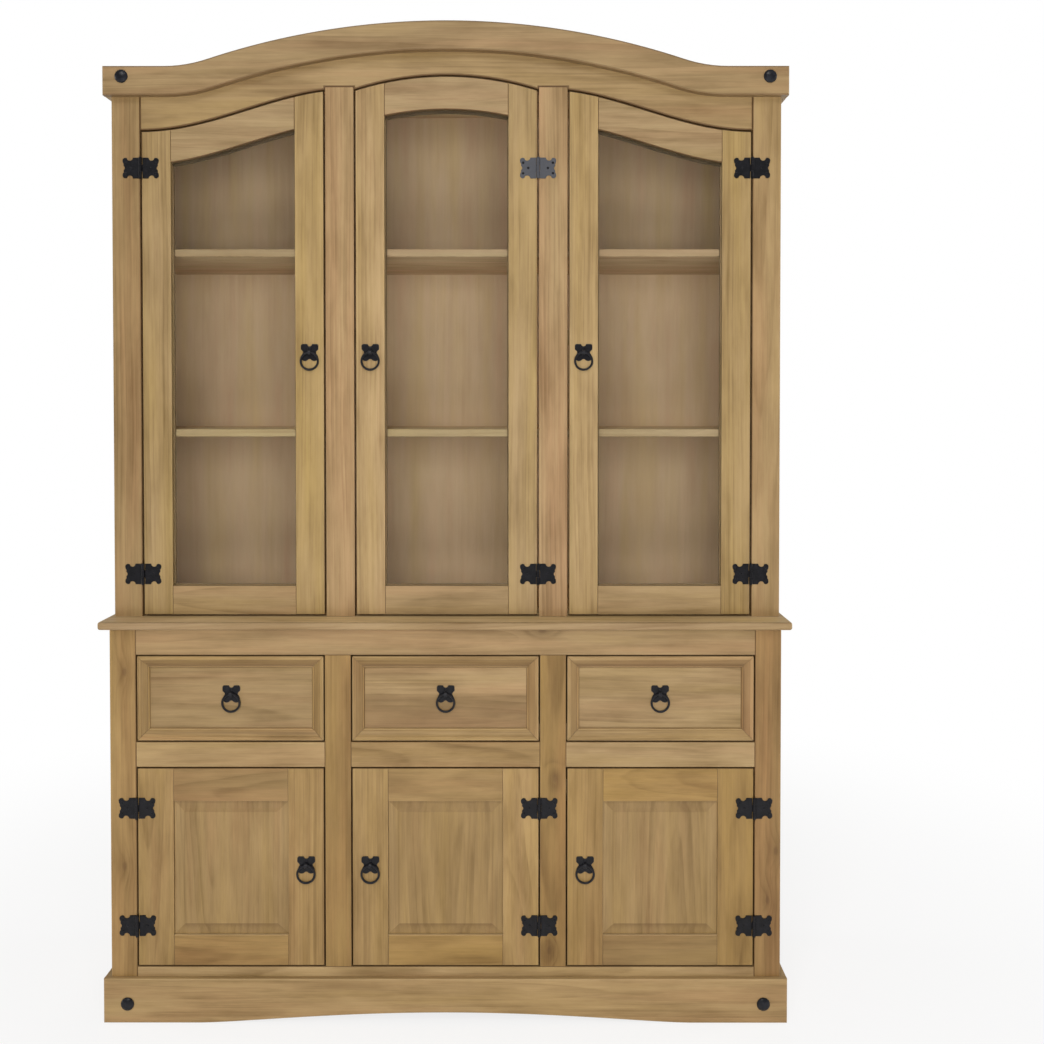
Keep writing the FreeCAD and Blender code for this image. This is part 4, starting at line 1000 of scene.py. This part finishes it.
def hinge_leaf(shape, x, z, face, side, outer, painted_sheen):
    first = len(shape.worn)
    outline = [(side * p, q) for p, q in leaf_outline()]
    if side < 0:
        outline.reverse()
    place = lambda p, q, t: (x + p, t, z + q)
    prism(shape, outline, face - 1.6, face, place, None, 0.5, 0, 2)
    third = 41 / 3
    spans = ((-20.5, -20.5 + third), (20.5 - third, 20.5)) if outer else ((-20.5 + third, 20.5 - third),)
    for low, high in spans:
        low, high = low + 0.15, high - 0.15
        ring = [(3.4, 0), (3.4, high - low - 0.5), (2.9, high - low)]
        disc(shape, (x, face - KNUCKLE_OUT, z + low), (0, 0, 1), [(2.9, 0), (3.4, 0.5)] + ring[1:], 18)
        corners = [(0, -1.6), (3.9, -1.6), (3.9, -0.05), (0, -0.05)]
        points = [(x + side * p, face + q, z + t) for t in (low, high) for p, q in corners]
        shape.add(points, BOX_FACES, [0.0] * 6)
    shape.worn[first:] = [painted_sheen] * (len(shape.worn) - first)
    for reach, rise in ((29.5, 10.4), (29.5, -10.4), (19.4, 0)):
        screw_head(shape, x + side * reach, z + rise, face - 1.6)


def hinge_axis(tier, bay):
    pitch, width, gap, stile = TIERS[tier]
    return BAYS[bay] * pitch + HINGE_SIDE[bay] * (width - gap) / 2


def pull_plate(shape, x, z, face):
    place = lambda p, q, t: (x + p, t, z + q)
    prism(shape, plate_outline(), face - 2.0, face, place, None, 0.7, 0, 2)
    boss = ((4.3, 0), (4.0, 0.5), (3.1, 1.1), (1.7, 1.5), (0.6, 1.6))
    disc(shape, (x, face - 2.0, z + 7.6), (0, -1, 0), boss, 18)
    steps = 14
    points, faces = [], []
    for half in (-3.0, -2.5, 2.5, 3.0):
        grow = 0.0 if abs(half) < 2.8 else -0.4
        for radius in (5.0 + grow, 2.9 - grow * 0.5):
            for k in range(steps + 1):
                a = math.pi * k / steps + math.pi
                points.append((x + half, face - PULL_OUT - math.sin(a - math.pi) * radius,
                        z + math.cos(a - math.pi) * radius))
    row = 2 * (steps + 1)
    for r in range(3):
        for k in range(steps):
            outer, inner = r * row + k, r * row + steps + 1 + k
            faces.append((outer, outer + 1, outer + row + 1, outer + row))
            faces.append((inner + 1, inner, inner + row, inner + row + 1))
        for end in (0, steps):
            outer, inner = r * row + end, r * row + steps + 1 + end
            faces.append((outer, outer + row, inner + row, inner))
    for r in (0, 3):
        for k in range(steps):
            outer, inner = r * row + k, r * row + steps + 1 + k
            faces.append((outer, inner, inner + 1, outer + 1))
    shape.add(points, faces, [0.3] * len(faces))
    for low, high in ((-5.0, -2.9), (2.9, 5.0)):
        corners = [(x - 3, face - PULL_OUT, z + low), (x + 3, face - PULL_OUT, z + low),
                (x + 3, face - PULL_OUT, z + high), (x - 3, face - PULL_OUT, z + high)]
        points = corners + [(a, face - 1.9, b) for a, _, b in corners]
        shape.add(points, BOX_FACES, [0.0] * 6)


def pull_ring(name, x, z, face):
    shape, turns, sides = Shape(), 72, 16
    points, faces = [], []
    for i in range(turns):
        a = 2 * math.pi * i / turns
        thick = 2.12 + 0.16 * math.sin(a) ** 2 if math.sin(a) < 0 else 2.12
        for k in range(sides):
            b = 2 * math.pi * k / sides
            out = 17.0 + thick * math.cos(b)
            points.append((x + math.cos(a) * out, face - PULL_OUT + thick * math.sin(b),
                    z - 17.0 + math.sin(a) * out))
    for i in range(turns):
        for k in range(sides):
            j, m = (i + 1) % turns, (k + 1) % sides
            faces.append((i * sides + k, j * sides + k, j * sides + m, i * sides + m))
    shape.add(points, faces, [0.15] * len(faces))
    build(name + "_iron", shape, name, IRON, smooth=60)


def ironwork():
    shape = Shape()
    for tier, (pitch, width, gap, stile) in TIERS.items():
        face = HUTCH_FACE if tier == "glazed" else BUFFET_FACE
        for bay in BAYS:
            x, side = hinge_axis(tier, bay), HINGE_SIDE[bay]
            own = Shape()
            for z in HINGE_LEVELS[tier]:
                # Painted reflection: the middle glazed door's upper hinge is painted a lighter bluish grey as
                # a sheen.
                painted_sheen = 1.8 if (tier, bay) == ("glazed", "middle") and z > 1500 else 0.0
                hinge_leaf(shape, x, z, face, side, True, painted_sheen)
                hinge_leaf(own, x, z, face, -side, False, painted_sheen)
            pull_x = BAYS[bay] * pitch - side * (width / 2 - gap - stile / 2)
            pull_plate(own, pull_x, PULL_LEVELS[tier], face)
            body = ("glazed_door_" if tier == "glazed" else "buffet_door_") + bay
            build(body + "_iron", own, body + "_ironwork", IRON)
            pull_ring(body + "_ring", pull_x, PULL_LEVELS[tier], face)
    build("frame_hinge_iron", shape, "frame_hinge_ironwork", IRON)

    for bay in BAYS:
        name, x, face = "drawer_" + bay, BAYS[bay] * BUFFET_PITCH, DRAWER_FIELD
        own = Shape()
        pull_plate(own, x, PULL_LEVELS["drawer"], face)
        build(name + "_pull_plate_iron", own, name + "_pull_plate", IRON)
        pull_ring(name + "_pull_ring", x, PULL_LEVELS["drawer"], face)

    shape = Shape()
    dome = [(12.7, 0)]
    dome += [(13 * math.cos(a), 0.9 + 6.1 * math.sin(a)) for a in span(0.08, math.pi / 2 - 0.05, 9)]
    for side in (-1, 1):
        crown = side * (COUNTER_HALF - CROWN_STUD_INSET), CROWN_FACE, CROWN_END - CROWN_STUD_DROP
        disc(shape, crown, (0, -1, 0), dome, 36)
        plinth = side * (PLINTH_HALF - PLINTH_STUD_INSET), PLINTH_FACE, PLINTH_STUD_HEIGHT
        disc(shape, plinth, (0, -1, 0), dome, 36)
    build("dome_studs_iron", shape, "iron_studs", BRIGHT_IRON, smooth=50)
    recoat("hinge_pins", IRON)


def catches():
    rng, shape = random.Random(5), Shape()
    for tier, (pitch, width, gap, stile) in TIERS.items():
        y0, z = (HUTCH_REAR, 1330) if tier == "glazed" else (BUFFET_REAR, 440.5)
        for bay, index in BAYS.items():
            way = HINGE_SIDE[bay]
            edge = index * pitch - way * width / 2
            x0, x1 = sorted((edge - way * 15, edge + way * 12))
            board(shape, rng, (x0, y0, z), (x1, y0 + 14, z + 30), 2, (-1, 1), edge=1.3, tone=-0.2)
    build("door_catches_pine", shape, "door_catches", INSIDE)


buffet_case()
hutch_case()
door_rng = random.Random(37)
for one_bay in BAYS:
    glazed_door(one_bay, door_rng)
    framed_door(one_bay, door_rng)
    drawer(one_bay, door_rng)
ironwork()
catches()


# Studio

def area_light(name, place, target, size, power, colour, mirrored=True):
    data = bpy.data.lights.new(name, "AREA")
    data.shape, data.size, data.size_y = "RECTANGLE", size[0], size[1]
    data.energy, data.color = power, colour
    lamp = bpy.data.objects.new(name, data)
    lamp.location = place
    lamp.rotation_euler = (Vector(target) - Vector(place)).to_track_quat("-Z", "Y").to_euler()
    lamp.visible_glossy = mirrored
    bpy.context.scene.collection.objects.link(lamp)


WARM_WHITE = (1.0, 0.985, 0.965)


def studio():
    world = bpy.data.worlds.new("studio")
    world.use_nodes = True
    tree = world.node_tree
    back = tree.nodes["Background"]
    back.inputs["Color"].default_value = (1, 1, 1, 1)
    seen, strength = tree.nodes.new("ShaderNodeLightPath"), tree.nodes.new("ShaderNodeMapRange")
    strength.inputs["To Min"].default_value, strength.inputs["To Max"].default_value = AMBIENT, BACKDROP
    tree.links.new(seen.outputs["Is Camera Ray"], strength.inputs["Value"])
    tree.links.new(strength.outputs[0], back.inputs["Strength"])
    bpy.context.scene.world = world
    bpy.context.scene.view_settings.view_transform = "Standard"
    area_light("key", (-0.7, -5.5, 6.2), (0, 0, 1.0), (2.8, 2.8), 164, (1.0, 0.985, 0.955))
    area_light("front", (0.15, -2.8, 1.42), (0.05, 0, 1.2), (1.5, 1.0), 40, WARM_WHITE, mirrored=False)
    area_light("bounce", (0.1, -3.0, 0.12), (0, 0, 1.6), (3.0, 0.8), 33, WARM_WHITE, mirrored=False)
    for name, place in (("left_side", (-7, 0.8, 1.8)), ("right_side", (7, 0.8, 1.8)),
            ("back", (0.8, 7, 1.8))):
        area_light(name, place, (0, 0, 1.0), (2.4, 2.4), 170, WARM_WHITE, mirrored=name != "back")
    mesh = bpy.data.meshes.new("studio_floor")
    ring = [(40 * math.cos(math.tau * k / 64), 40 * math.sin(math.tau * k / 64), -0.0005) for k in range(64)]
    mesh.from_pydata(ring, [], [tuple(range(64))])
    mesh.materials.append(studio_floor())
    floor = bpy.data.objects.new("studio_floor", mesh)
    bpy.context.scene.collection.objects.link(floor)

    data = bpy.data.cameras.new("camera")
    data.lens, data.sensor_width = 41.38, 36
    data.shift_x, data.shift_y = -0.0019, -0.0893
    data.clip_start, data.clip_end = 0.05, 200
    camera = bpy.data.objects.new("camera", data)
    camera.location = (0.1554, -2.532, 1.212)
    camera.rotation_euler = (math.radians(90 - 1.185), 0, math.radians(0.039))
    bpy.context.scene.collection.objects.link(camera)
    bpy.context.scene.camera = camera


studio()
bpy.context.view_layer.update()
